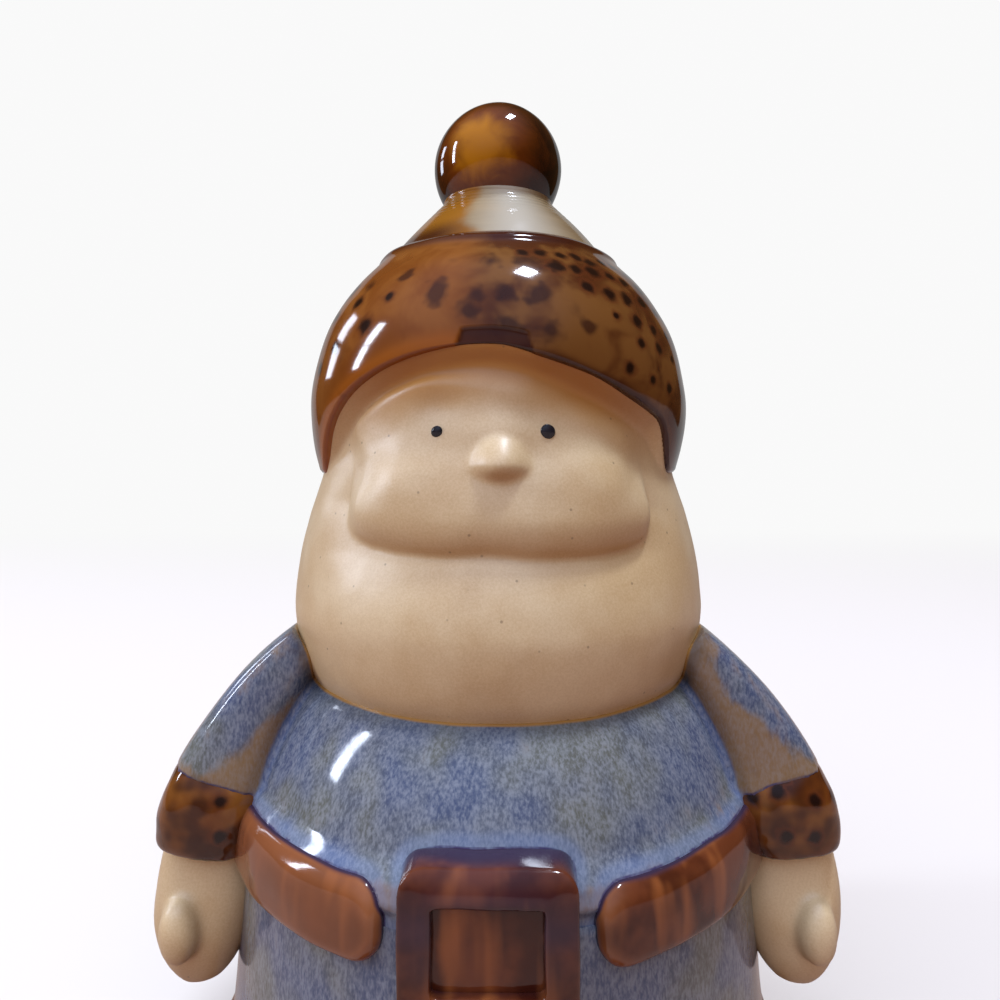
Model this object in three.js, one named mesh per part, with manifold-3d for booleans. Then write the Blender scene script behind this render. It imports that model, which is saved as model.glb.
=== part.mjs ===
// Stoneware Santa figurine, built up from separately formed clay pieces that are luted together and fired.
// Millimetres, +Z up. The figure stands on the XY plane with its axis on Z and faces -Y.
// Left and right are the figure's own: its left hand is on the +X side.
import * as THREE from "three";
import { mergeVertices } from "three/addons/utils/BufferGeometryUtils.js";
import Module from "manifold-3d";

const wasm = await Module();
wasm.setup();

// Slip joint left between two luted pieces
const SLIP_GAP = 0.3;

// Skirt of the coat, standing on a bare flat foot with a vent hole behind its middle
const SKIRT_HEIGHT = 66;
const FOOT_RADIUS = 55;
const WAIST_RADIUS = 48.5;
const SKIRT_HOLLOW = 1.2;
const VENT_RADIUS = 4;
const VENT_DEPTH = 12;
const VENT_SETBACK = 26;

// Hem trim, a roll of clay round the foot, lifted clear of the kiln shelf
const HEM_LIFT = 1;
const HEM_HEIGHT = 18;
const HEM_THICKNESS = 4;

// Boots, whose toes stand out from under the hem
const BOOT_SPACING = 39;
const BOOT_ROOT_WIDTH = 28;
const BOOT_ROOT_HEIGHT = 12;
const TOE_WIDTH = 35;
const TOE_HEIGHT = 15.4;
const TOE_REACH = 15;
const BOOT_TUCK = 8;

// Upper coat, a round belly that closes in to the collar
const COAT_HEIGHT = 23;
const COLLAR_RADIUS = 37.5;
const BELLY_FULLNESS = 1.3;

// Belt, a strip open at the front, and the buckle that fills the opening
const BELT_HEIGHT = 11.4;
const BELT_THICKNESS = 2.6;
const BELT_FACE_FULLNESS = 0.6;
const BELT_END_RADIUS = 4.5;
const BUCKLE_WIDTH = 24;
const BUCKLE_HEIGHT = 20.5;
const BUCKLE_DEPTH = 4;
const BUCKLE_BAR = 4.5;
const BUCKLE_CORNER = 3;
const BUCKLE_PLATE_DROP = 1.6;
const BUCKLE_CLEARANCE = 3.3;
const BUCKLE_SHIFT = 1.3;

// Arms, each one sweep from the shoulder to the finger tips, cut across into sleeve, cuff and hand
const SHOULDER_OUT = 0.6;
const SHOULDER_RISE = 4.8;
const ELBOW_OUT = 8.6;
const ELBOW_RISE = 7;
const FINGERS_OUT = 5;
const FINGERS_DROP = 30;
const SHOULDER_FORWARD = 11;
const ELBOW_FORWARD = 16;
const FINGERS_FORWARD = 17;
const SLEEVE_TOP_RADIUS = 3.6;
const SLEEVE_END_RADIUS = 7.2;
const SLEEVE_TOP_DEPTH = 11;
const SLEEVE_DEPTH = 12;
const CUFF_RADIUS = 8.4;
const CUFF_DEPTH = 13;
const CUFF_END_ROLL = 0.87;
const CUFF_ROLL_FULLNESS = 0.6;
const HAND_RADIUS = 7.2;
const HAND_DEPTH = 8.2;
const WRIST_SHARE = 0.86;
const THUMB_RADIUS = 3.6;
const THUMB_LENGTH = 12;
const THUMB_SHARE = 0.45;
const CUFF_START = 0.4;
const CUFF_END = 0.6;
const ARM_INNER_REACH = 1.5;
const ARM_SQUARENESS = 3;

// Head: a ball under the hat, wrapped below by the beard in front and the hair behind
const HEAD_RADIUS = 33.5;
const HEAD_BASE_RADIUS = 31;
const HEAD_SIDE_RISE = 19;
const HEAD_DOME = 26;
const BEARD_HEIGHT = 38;
const BEARD_EDGE_RADIUS = 37;
const BEARD_RADIUS = 40.1;
const BEARD_WIDEST_RISE = 11.4;
const CHEEK_RADIUS = 38.5;
const CHEEK_RISE = 24;
const TEMPLE_RADIUS = 35.2;
const HAIR_SETBACK = 8;

// Face: the opening between brim and beard, and what is set in it
const FACE_HALF_WIDTH = 29;
const FACE_DROP = 9.5;
const EYE_RADIUS = 1.1;
const EYE_RISE = 6.6;
const LEFT_EYE_OUT = 7.4;
const RIGHT_EYE_OUT = 9.2;
const NOSE_HALF_WIDTH = 4.6;
const NOSE_HALF_HEIGHT = 3.3;
const NOSE_REACH = 5.2;
const NOSE_RISE = 2.4;
const MOUSTACHE_HALF_ANGLE = 0.76;
const MOUSTACHE_RISE = 7;
const MOUSTACHE_SAG = 4.6;
const MOUSTACHE_REACH = 8.6;
const MOUSTACHE_DROP = 8.4;
const MOUSTACHE_TURN_UP = 2.6;
const MOUSTACHE_FULLNESS = 0.3;

// Hat: a thick brim cap arched over the face, a cone and a ball
const BRIM_HEIGHT = 41.7;
const BRIM_EDGE_RADIUS = 36;
const BRIM_RADIUS = 37.2;
const BRIM_WIDEST_RISE = 13.8;
const BRIM_TOP_RADIUS = 22.4;
const BRIM_SHOULDER_RADIUS = 33.4;
const BRIM_SHOULDER_RISE = 28.4;
const FACE_ARCH = 20.6;
const BRIM_WALL = 7;
const CROWN_INSET = 0.9;
const CROWN_HEIGHT = 13;
const CROWN_TOP_RADIUS = 10.9;
const CROWN_MIDDLE_RADIUS = 15.6;
const POMPOM_RADIUS = 13;
const POMPOM_SINK = 1.1;

// Shape of rounded ends and arches: the share left at a blunt end, and how full a boot's arch is
const BLUNT_END = 0.1;
const ARCH_FULLNESS = 0.8;

// Fineness of the round forms
const ROUND_STEPS = 32;
const PROFILE_STEPS = 8;
const SECTION_STEPS = 12;
const CORNER_STEPS = 4;
const POMPOM_STEPS = 28;
const BELT_FACE_STEPS = 7;
const BELT_END_STEPS = [0, 0.03, 0.12, 0.3, 0.6];

// Heights that follow from the stack of pieces
const coatBase = SKIRT_HEIGHT + SLIP_GAP;
const collarHeight = coatBase + COAT_HEIGHT;
const headBase = collarHeight + SLIP_GAP;
const brimBase = headBase + BEARD_HEIGHT + SLIP_GAP;
const brimTop = brimBase + BRIM_HEIGHT;
const crownBase = brimTop + SLIP_GAP;
const crownTop = crownBase + CROWN_HEIGHT;
const headTop = brimTop - BRIM_WALL;
const pompomHeight = crownTop + Math.sqrt(POMPOM_RADIUS ** 2 - CROWN_TOP_RADIUS ** 2) - POMPOM_SINK;
const FAR = 400;

// A closed geometry as a solid that can be cut and joined
function solidOf(geometry) {
  const bare = geometry.clone();
  bare.deleteAttribute("normal");
  bare.deleteAttribute("uv");
  const merged = mergeVertices(bare, 1e-4);
  const vertProperties = new Float32Array(merged.attributes.position.array);
  const triVerts = new Uint32Array(merged.index.array);
  return new wasm.Manifold(new wasm.Mesh({ numProp: 3, vertProperties, triVerts }));
}

// A solid turned back into a mesh with the finish of its clay or glaze
function pieceOf(name, solid, material) {
  const mesh = solid.getMesh();
  const geometry = new THREE.BufferGeometry();
  geometry.setAttribute("position", new THREE.BufferAttribute(mesh.vertProperties, 3));
  geometry.setIndex(new THREE.BufferAttribute(mesh.triVerts, 1));
  geometry.computeVertexNormals();
  const piece = new THREE.Mesh(geometry, material.clone());
  piece.name = name;
  return piece;
}

function cut(solid, ...tools) {
  return tools.reduce((left, tool) => left.subtract(tool), solid);
}

// A smooth side through a few (radius, height) points
function smoothSide(points) {
  const curve = new THREE.SplineCurve(points.map(([radius, height]) => new THREE.Vector2(radius, height)));
  return curve.getPoints(PROFILE_STEPS);
}

// A side closed to the axis by flat ends
function closedSide(side) {
  const first = side[0];
  const last = side[side.length - 1];
  return [new THREE.Vector2(0, first.y), ...side, new THREE.Vector2(0, last.y)];
}

// The same outline moved out all round by a clearance; points on the axis stay on it
function grown(outline, clearance) {
  return outline.map((point, index) => {
    const before = outline[Math.max(index - 1, 0)];
    const after = outline[Math.min(index + 1, outline.length - 1)];
    const along = after.clone().sub(before).normalize();
    const out = new THREE.Vector2(along.y, -along.x);
    const atAxis = point.x === 0;
    const corner = !atAxis && (before.x === 0 || after.x === 0);
    const length = corner ? clearance * Math.SQRT2 : clearance;
    const moved = point.clone().addScaledVector(out, length);
    const end = index === 0 ? -clearance : clearance;
    return atAxis ? new THREE.Vector2(0, point.y + end) : moved;
  });
}

function revolve(outline) {
  const lathe = new THREE.LatheGeometry(outline, ROUND_STEPS);
  return solidOf(lathe.rotateX(Math.PI / 2));
}

// The radius of an outline's side at a height
function radiusAt(outline, height) {
  const upper = outline.findIndex((point, index) => index > 1 && point.y >= height);
  const above = outline[upper];
  const below = outline[upper - 1];
  const share = (height - below.y) / (above.y - below.y);
  return THREE.MathUtils.lerp(below.x, above.x, share);
}

// Closed loops of equal length joined in order, with a flat cap at each end
function loft(loops) {
  const count = loops[0].length;
  const centres = [loops[0], loops[loops.length - 1]].map((loop) =>
    loop.reduce((sum, point) => sum.add(point), new THREE.Vector3()).divideScalar(count));
  const points = [...loops.flat(), ...centres];
  const firstCentre = points.length - 2;
  const lastCentre = points.length - 1;
  const lastLoop = (loops.length - 1) * count;
  const faces = [];
  for (let step = 0; step < count; step += 1) {
    const next = (step + 1) % count;
    faces.push(firstCentre, next, step);
    faces.push(lastCentre, lastLoop + step, lastLoop + next);
    for (let loop = 0; loop < lastLoop; loop += count) {
      faces.push(loop + step, loop + next, loop + count + next);
      faces.push(loop + step, loop + count + next, loop + count + step);
    }
  }
  const geometry = new THREE.BufferGeometry().setFromPoints(points);
  geometry.setIndex(faces);
  return solidOf(geometry);
}

function steps(from, to, count) {
  return Array.from({ length: count + 1 }, (_, index) => THREE.MathUtils.lerp(from, to, index / count));
}

function mirrored(solid) {
  return solid.mirror([1, 0, 0]);
}

function box(width, depth, height, x, y, z) {
  return solidOf(new THREE.BoxGeometry(width, depth, height).translate(x, y, z));
}

// Outlines of the turned pieces
const skirtOutline = closedSide(smoothSide([
  [FOOT_RADIUS, 0],
  [(FOOT_RADIUS + WAIST_RADIUS) / 2 - SKIRT_HOLLOW, SKIRT_HEIGHT / 2],
  [WAIST_RADIUS, SKIRT_HEIGHT],
]));

// The belly is a quarter of a superellipse from waist to collar
const coatOutline = closedSide(steps(0, Math.PI / 2, PROFILE_STEPS).map((turn) => {
  const out = Math.max(Math.cos(turn), 0) ** (2 / BELLY_FULLNESS);
  const up = Math.sin(turn) ** (2 / BELLY_FULLNESS);
  return new THREE.Vector2(
    THREE.MathUtils.lerp(COLLAR_RADIUS, WAIST_RADIUS, out),
    coatBase + COAT_HEIGHT * up,
  );
}));

const beardOutline = closedSide(smoothSide([
  [BEARD_EDGE_RADIUS, headBase],
  [BEARD_RADIUS, headBase + BEARD_WIDEST_RISE],
  [CHEEK_RADIUS, headBase + CHEEK_RISE],
  [TEMPLE_RADIUS, headBase + BEARD_HEIGHT],
  [TEMPLE_RADIUS, brimBase + FACE_ARCH],
]));

// The head rises straight behind the beard and closes in an elliptical dome inside the hat
const headOutline = [
  new THREE.Vector2(0, headBase),
  new THREE.Vector2(HEAD_BASE_RADIUS, headBase),
  new THREE.Vector2(HEAD_RADIUS, headBase + HEAD_SIDE_RISE),
  ...steps(0, Math.PI / 2, PROFILE_STEPS).map((turn) => new THREE.Vector2(
    turn < Math.PI / 2 ? HEAD_RADIUS * Math.cos(turn) : 0,
    headTop - HEAD_DOME + HEAD_DOME * Math.sin(turn),
  )),
];

const brimOutline = closedSide(smoothSide([
  [BRIM_EDGE_RADIUS, brimBase],
  [BRIM_RADIUS, brimBase + BRIM_WIDEST_RISE],
  [BRIM_SHOULDER_RADIUS, brimBase + BRIM_SHOULDER_RISE],
  [BRIM_TOP_RADIUS, brimTop],
]));

const crownOutline = closedSide(smoothSide([
  [BRIM_TOP_RADIUS - CROWN_INSET, crownBase],
  [CROWN_MIDDLE_RADIUS, crownBase + CROWN_HEIGHT / 2],
  [CROWN_TOP_RADIUS, crownTop],
]));

// Skirt with its vent hole
function skirt() {
  const vent = new THREE.CylinderGeometry(VENT_RADIUS, VENT_RADIUS, 2 * VENT_DEPTH, SECTION_STEPS);
  vent.rotateX(Math.PI / 2).translate(0, VENT_SETBACK, 0);
  return cut(revolve(skirtOutline), solidOf(vent));
}

// Hem: a roll with a rounded face, seated on the skirt and arched over the boots
function hemRoll(clearance) {
  const reach = HEM_THICKNESS + clearance;
  const face = steps(-Math.PI / 2, Math.PI / 2, PROFILE_STEPS).map((turn) => {
    const height = HEM_LIFT + HEM_HEIGHT / 2 + (HEM_HEIGHT / 2 + clearance) * Math.sin(turn);
    const seat = radiusAt(skirtOutline, Math.max(height, 0));
    return new THREE.Vector2(seat + reach * Math.sqrt(Math.max(Math.cos(turn), 0)), height);
  });
  const inside = FOOT_RADIUS - 2 * HEM_THICKNESS;
  const low = new THREE.Vector2(inside, face[0].y);
  const high = new THREE.Vector2(inside, face[face.length - 1].y);
  return revolve([low, ...face, high, low]);
}

function hemTrim() {
  const seat = revolve(grown(skirtOutline, SLIP_GAP));
  return cut(hemRoll(0), seat, bootBody(1, SLIP_GAP), bootBody(-1, SLIP_GAP));
}

// Boot: a flat-soled arch swept forward to a round toe
function bootBody(side, clearance) {
  const root = FOOT_RADIUS - BOOT_TUCK;
  const tip = FOOT_RADIUS + HEM_THICKNESS + TOE_REACH + clearance;
  const loops = steps(0, 1, PROFILE_STEPS).map((share) => {
    const along = Math.sin((share * Math.PI) / 2);
    const swell = Math.max(Math.sqrt(1 - along ** 4), BLUNT_END);
    const width = THREE.MathUtils.lerp(BOOT_ROOT_WIDTH, TOE_WIDTH, along) * swell + 2 * clearance;
    const height = THREE.MathUtils.lerp(BOOT_ROOT_HEIGHT, TOE_HEIGHT, along) * swell + clearance;
    const forward = -THREE.MathUtils.lerp(root, tip, along);
    return steps(0, Math.PI, SECTION_STEPS - 1).map((turn) => new THREE.Vector3(
      (side * BOOT_SPACING + width * Math.cos(turn)) / 2,
      forward,
      height * Math.sin(turn) ** ARCH_FULLNESS,
    ));
  });
  return loft(loops);
}

function boot(side) {
  return cut(bootBody(side, 0), revolve(grown(skirtOutline, SLIP_GAP)));
}

// Belt: a rounded strip round the waist, from one side of the buckle to the other
function beltStrip(leftEnd, rightEnd, clearance) {
  const radius = WAIST_RADIUS + BELT_THICKNESS;
  const endTurn = BELT_END_RADIUS / radius;
  const lastTurn = 2 * Math.PI - rightEnd;
  const rounding = BELT_END_STEPS.map((share) => share * endTurn);
  const middle = steps(leftEnd + endTurn, lastTurn - endTurn, ROUND_STEPS);
  const fromEnd = rounding.map((turn) => leftEnd + turn);
  const toEnd = rounding.map((turn) => lastTurn - turn).reverse();
  const loops = [...fromEnd, ...middle, ...toEnd].map((turn) => {
    const inset = Math.min(turn - leftEnd, lastTurn - turn) * radius;
    const missing = Math.max(BELT_END_RADIUS - inset, 0);
    const corner = BELT_END_RADIUS - Math.sqrt(BELT_END_RADIUS ** 2 - missing ** 2);
    const halfHeight = BELT_HEIGHT / 2 - corner + clearance;
    return stripSection(turn, radius + clearance, halfHeight);
  });
  return loft(loops);
}

// Section of the belt: a flat back inside the waist and a softly rounded face
function stripSection(turn, radius, halfHeight) {
  const back = WAIST_RADIUS - 2 * BELT_THICKNESS;
  const face = steps(-Math.PI / 2, Math.PI / 2, BELT_FACE_STEPS).map((slope) => {
    const bulge = Math.max(Math.cos(slope), 0) ** BELT_FACE_FULLNESS;
    const out = THREE.MathUtils.lerp(radius - BELT_THICKNESS, radius, bulge);
    return [out, halfHeight * Math.sin(slope)];
  });
  const outline = [[back, -halfHeight], ...face, [back, halfHeight]].reverse();
  return outline.map(([out, up]) => new THREE.Vector3(
    out * Math.sin(turn),
    -out * Math.cos(turn),
    SKIRT_HEIGHT + up,
  ));
}

function bodySeats() {
  return [revolve(grown(skirtOutline, SLIP_GAP)), revolve(grown(coatOutline, SLIP_GAP))];
}

function belt() {
  const halfOpening = BUCKLE_WIDTH / 2 + BUCKLE_CLEARANCE;
  const radius = WAIST_RADIUS + BELT_THICKNESS;
  const leftEnd = Math.asin((halfOpening - BUCKLE_SHIFT) / radius);
  const rightEnd = Math.asin((halfOpening + BUCKLE_SHIFT) / radius);
  return cut(beltStrip(leftEnd, rightEnd, 0), ...bodySeats());
}

// A rounded rectangle standing across the front of the belly
function roundedSlab(width, height, corner, front, depth) {
  const x = width / 2 - corner;
  const z = height / 2 - corner;
  const outline = new THREE.Shape();
  outline.absarc(x, z, corner, 0, Math.PI / 2);
  outline.absarc(-x, z, corner, Math.PI / 2, Math.PI);
  outline.absarc(-x, -z, corner, Math.PI, 1.5 * Math.PI);
  outline.absarc(x, -z, corner, 1.5 * Math.PI, 2 * Math.PI);
  const options = { depth, bevelEnabled: false, curveSegments: CORNER_STEPS };
  const slab = new THREE.ExtrudeGeometry(outline, options);
  return solidOf(slab.rotateX(Math.PI / 2).translate(-BUCKLE_SHIFT, front + depth, SKIRT_HEIGHT));
}

const buckleFront = -(WAIST_RADIUS + BUCKLE_DEPTH);
const buckleThickness = 4 * BUCKLE_DEPTH;

function buckleOpening(clearance, front) {
  const width = BUCKLE_WIDTH - 2 * BUCKLE_BAR - 2 * clearance;
  const height = BUCKLE_HEIGHT - 2 * BUCKLE_BAR - 2 * clearance;
  return roundedSlab(width, height, BUCKLE_CORNER / 2, front, buckleThickness);
}

function buckleFrame() {
  const slab = roundedSlab(BUCKLE_WIDTH, BUCKLE_HEIGHT, BUCKLE_CORNER, buckleFront, buckleThickness);
  const opening = buckleOpening(0, buckleFront - BUCKLE_DEPTH).add(buckleOpening(0, buckleFront));
  return cut(slab, opening, ...bodySeats());
}

function bucklePlate() {
  return cut(buckleOpening(SLIP_GAP, buckleFront + BUCKLE_PLATE_DROP), ...bodySeats());
}

// Centre line of the left arm, hugging the side of the coat
const armLine = new THREE.QuadraticBezierCurve3(
  new THREE.Vector3(COLLAR_RADIUS + SHOULDER_OUT, -SHOULDER_FORWARD, collarHeight + SHOULDER_RISE),
  new THREE.Vector3(WAIST_RADIUS + ELBOW_OUT, -ELBOW_FORWARD, SKIRT_HEIGHT + ELBOW_RISE),
  new THREE.Vector3(WAIST_RADIUS + FINGERS_OUT, -FINGERS_FORWARD, SKIRT_HEIGHT - FINGERS_DROP),
);

// Keeps the sign of a value on a unit circle and squares up the round section that it belongs to
function squared(value) {
  return Math.sign(value) * Math.abs(value) ** (2 / ARM_SQUARENESS);
}

// A stretch of the arm with its half width and half depth at each share of the stretch
function armStretch(from, to, sizeAt) {
  const loops = steps(0, 1, PROFILE_STEPS).map((share) => {
    const at = THREE.MathUtils.lerp(from, to, share);
    const centre = armLine.getPoint(at);
    const along = armLine.getTangent(at);
    const fore = new THREE.Vector3(0, -1, 0).addScaledVector(along, along.y).normalize();
    const out = new THREE.Vector3().crossVectors(fore, along);
    const { radius, depth } = sizeAt(share);
    return steps(0, 2 * Math.PI, SECTION_STEPS).slice(1).map((turn) => {
      const reach = radius * (Math.cos(turn) < 0 ? ARM_INNER_REACH : 1);
      const point = centre.clone().addScaledVector(out, reach * squared(Math.cos(turn)));
      return point.addScaledVector(fore, depth * squared(Math.sin(turn)));
    });
  });
  return loft(loops);
}

const armLength = armLine.getLength();
const halfArmGap = SLIP_GAP / 2 / armLength;

// What an arm is luted against: coat, skirt, belt, hem and the side of the beard
function armSeats() {
  return [
    ...bodySeats(),
    revolve(grown(beardOutline, SLIP_GAP)),
    beltStrip(SLIP_GAP / WAIST_RADIUS, SLIP_GAP / WAIST_RADIUS, SLIP_GAP),
    hemRoll(SLIP_GAP),
  ];
}

function sleeve() {
  const body = armStretch(0, CUFF_START - halfArmGap, (share) => ({
    radius: THREE.MathUtils.lerp(SLEEVE_TOP_RADIUS, SLEEVE_END_RADIUS, share),
    depth: THREE.MathUtils.lerp(SLEEVE_TOP_DEPTH, SLEEVE_DEPTH, share),
  }));
  return cut(body, ...armSeats());
}

function cuff() {
  const body = armStretch(CUFF_START + halfArmGap, CUFF_END - halfArmGap, (share) => {
    const roll = THREE.MathUtils.lerp(CUFF_END_ROLL, 1, Math.sin(Math.PI * share) ** CUFF_ROLL_FULLNESS);
    return { radius: CUFF_RADIUS * roll, depth: CUFF_DEPTH * roll };
  });
  return cut(body, ...armSeats());
}

// Mitten hand with a thumb laid along its front edge
function hand() {
  const palm = armStretch(CUFF_END + halfArmGap, 1, (share) => {
    const taper = Math.max(Math.sqrt(1 - share ** 4), BLUNT_END);
    const spread = THREE.MathUtils.lerp(WRIST_SHARE, 1, Math.sin(Math.PI * share));
    return { radius: HAND_RADIUS * spread * taper, depth: HAND_DEPTH * spread * taper };
  });
  const thumbAt = armLine.getPoint(THREE.MathUtils.lerp(CUFF_END, 1, THUMB_SHARE));
  const thumb = new THREE.SphereGeometry(1, SECTION_STEPS, PROFILE_STEPS);
  thumb.scale(THUMB_RADIUS, THUMB_RADIUS, THUMB_LENGTH / 2);
  thumb.translate(thumbAt.x, thumbAt.y - HAND_DEPTH, thumbAt.z);
  return cut(palm.add(solidOf(thumb)), ...armSeats());
}

// Head with sockets for the two eyes
function eyeBall(out, clearance) {
  const height = brimBase + EYE_RISE;
  const seat = radiusAt(headOutline, height);
  const ball = new THREE.SphereGeometry(EYE_RADIUS + clearance, SECTION_STEPS, PROFILE_STEPS);
  return solidOf(ball.translate(out, -Math.sqrt(seat ** 2 - out ** 2), height));
}

function head() {
  const sockets = [eyeBall(LEFT_EYE_OUT, SLIP_GAP), eyeBall(-RIGHT_EYE_OUT, SLIP_GAP)];
  return cut(revolve(headOutline), ...sockets);
}

function headSeat() {
  return revolve(grown(headOutline, SLIP_GAP));
}

// An oval tube through the front, the face opening of the brim above and of the beard below
function faceOval(halfWidth, halfHeight) {
  const tube = new THREE.CylinderGeometry(1, 1, FAR, ROUND_STEPS);
  tube.scale(halfWidth, 1, halfHeight).translate(0, -FAR / 2, brimBase);
  return solidOf(tube);
}

// Shell round the head, parted into beard and hair; the sideburns run up under the arch of the brim
function beardShell(clearance) {
  const chin = faceOval(FACE_HALF_WIDTH - clearance, FACE_DROP - clearance);
  const cheeks = box(2 * (FACE_HALF_WIDTH - clearance), FAR, FAR, 0, -FAR / 2, brimBase + FAR / 2);
  const behind = box(FAR, FAR, FAR, 0, FAR / 2 + HAIR_SETBACK + clearance, brimBase);
  return cut(revolve(grown(beardOutline, clearance)), chin, cheeks, behind);
}

function beard() {
  return cut(beardShell(0), headSeat(), brimCap(SLIP_GAP));
}

function hair() {
  const before = box(FAR, FAR, FAR, 0, HAIR_SETBACK + SLIP_GAP - FAR / 2, brimBase);
  return cut(revolve(beardOutline), before, headSeat(), brimCap(SLIP_GAP));
}

// Moustache: one roll bent round the face, fullest low down, with blunt upturned ends
function moustacheRoll(clearance) {
  const middle = brimBase - MOUSTACHE_DROP;
  const loops = steps(1, -1, 2 * PROFILE_STEPS).map((share) => {
    const place = Math.sin((share * Math.PI) / 2);
    const turn = place * MOUSTACHE_HALF_ANGLE;
    const taper = Math.max(Math.sqrt(1 - place ** 4), 2 * BLUNT_END);
    const height = middle + MOUSTACHE_TURN_UP * place ** 2;
    return steps(0, 2 * Math.PI, SECTION_STEPS).slice(1).map((slope) => {
      const fullness = 1 - MOUSTACHE_FULLNESS * Math.sin(slope);
      const tall = Math.sin(slope) > 0 ? MOUSTACHE_RISE : MOUSTACHE_SAG;
      const out = HEAD_RADIUS + (MOUSTACHE_REACH * taper + clearance) * Math.cos(slope) * fullness;
      const up = (tall * taper + clearance) * Math.sin(slope);
      return new THREE.Vector3(out * Math.sin(turn), -out * Math.cos(turn), height + up);
    });
  });
  return loft(loops);
}

function moustache() {
  return cut(moustacheRoll(0), headSeat(), beardShell(SLIP_GAP));
}

// Nose: a pinched ball above the middle of the moustache
function nose() {
  const height = brimBase + NOSE_RISE;
  const ball = new THREE.SphereGeometry(1, SECTION_STEPS, PROFILE_STEPS);
  ball.scale(NOSE_HALF_WIDTH, NOSE_REACH, NOSE_HALF_HEIGHT);
  ball.translate(0, -radiusAt(headOutline, height), height);
  return cut(solidOf(ball), headSeat(), moustacheRoll(SLIP_GAP));
}

// Hat
function brimCap(clearance) {
  const arch = faceOval(BRIM_RADIUS - clearance, FACE_ARCH - clearance);
  return cut(revolve(grown(brimOutline, clearance)), arch);
}

function hatBrim() {
  return cut(brimCap(0), headSeat());
}

function pompomBall(clearance) {
  const ball = new THREE.SphereGeometry(POMPOM_RADIUS + clearance, POMPOM_STEPS, SECTION_STEPS);
  return solidOf(ball.rotateX(Math.PI / 2).translate(0, 0, pompomHeight));
}

function hatCrown() {
  return cut(revolve(crownOutline), pompomBall(SLIP_GAP));
}

// Finishes
function finish(color, roughness) {
  return new THREE.MeshStandardMaterial({ color, roughness, metalness: 0 });
}
const bareClay = finish(0xc8b18c, 0.8);
const blueGlaze = finish(0x6c7890, 0.15);
const brownGlaze = finish(0x6a3c22, 0.15);
const amberGlaze = finish(0x5a3212, 0.1);
const creamGlaze = finish(0xb5a37c, 0.15);
const blackStain = finish(0x0c0b0d, 0.25);

// Assembly
const lower = new THREE.Group();
lower.add(pieceOf("skirt", skirt(), blueGlaze));
lower.add(pieceOf("hem_trim", hemTrim(), brownGlaze));
lower.add(pieceOf("left_boot", boot(1), brownGlaze));
lower.add(pieceOf("right_boot", boot(-1), brownGlaze));

const middle = new THREE.Group();
middle.add(pieceOf("coat", revolve(coatOutline), blueGlaze));
middle.add(pieceOf("belt", belt(), brownGlaze));
middle.add(pieceOf("buckle_frame", buckleFrame(), brownGlaze));
middle.add(pieceOf("buckle_plate", bucklePlate(), brownGlaze));
const armPieces = [
  ["sleeve", sleeve(), blueGlaze],
  ["cuff", cuff(), brownGlaze],
  ["hand", hand(), bareClay],
];
for (const [name, solid, material] of armPieces) {
  middle.add(pieceOf(`left_${name}`, solid, material));
  middle.add(pieceOf(`right_${name}`, mirrored(solid), material));
}

const upper = new THREE.Group();
upper.add(pieceOf("head", head(), bareClay));
upper.add(pieceOf("beard", beard(), bareClay));
upper.add(pieceOf("hair", hair(), bareClay));
upper.add(pieceOf("moustache", moustache(), bareClay));
upper.add(pieceOf("nose", nose(), bareClay));
upper.add(pieceOf("left_eye", eyeBall(LEFT_EYE_OUT, 0), blackStain));
upper.add(pieceOf("right_eye", eyeBall(-RIGHT_EYE_OUT, 0), blackStain));
upper.add(pieceOf("hat_brim", hatBrim(), brownGlaze));
upper.add(pieceOf("hat_crown", hatCrown(), creamGlaze));
upper.add(pieceOf("pompom", pompomBall(0), amberGlaze));

const santa = new THREE.Group();
santa.add(lower, middle, upper);

export default santa;
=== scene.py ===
import bisect
import itertools
import math

import bmesh
import bpy
from mathutils import Matrix, Vector, noise
from mathutils.bvhtree import BVHTree
from mathutils.kdtree import KDTree


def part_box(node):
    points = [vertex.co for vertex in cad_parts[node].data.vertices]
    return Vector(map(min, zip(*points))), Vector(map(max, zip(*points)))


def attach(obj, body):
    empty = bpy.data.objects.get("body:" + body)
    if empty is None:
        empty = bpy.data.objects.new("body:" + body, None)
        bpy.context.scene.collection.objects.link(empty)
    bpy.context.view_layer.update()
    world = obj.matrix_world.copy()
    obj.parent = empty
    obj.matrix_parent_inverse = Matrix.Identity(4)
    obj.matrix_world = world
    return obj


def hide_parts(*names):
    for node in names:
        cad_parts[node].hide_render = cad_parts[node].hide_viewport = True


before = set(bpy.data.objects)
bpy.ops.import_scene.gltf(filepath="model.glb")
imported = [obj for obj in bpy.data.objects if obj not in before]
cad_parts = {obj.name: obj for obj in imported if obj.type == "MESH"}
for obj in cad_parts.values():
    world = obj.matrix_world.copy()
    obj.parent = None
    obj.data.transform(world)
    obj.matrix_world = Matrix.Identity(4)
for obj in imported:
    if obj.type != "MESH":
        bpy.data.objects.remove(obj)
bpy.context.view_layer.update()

# Skirt of the coat
# A drum thrown on the wheel and closed by a floor, of stoneware under the blue glaze of the coat.
# It stands on a flat foot with a rounded edge, and a vent hole behind the middle let the steam out.
# Forms are worked in millimetres, and turned to metres when they become pieces.
MM = 0.001
TURNING_STEPS = 256
TURNING_SECTORS = 16
MERGE_DISTANCE = 0.001
SKIRT_HOLLOW = 1.2
SEAM_OVERLAP = 0.15
FOOT_ROUNDING = 1.6
VENT_RADIUS = 4
VENT_DEPTH = 12
VENT_SETBACK = 26


def node_box(node):
    """A node's lowest and highest corners, in millimetres."""
    return [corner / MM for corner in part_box(node)]


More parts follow.
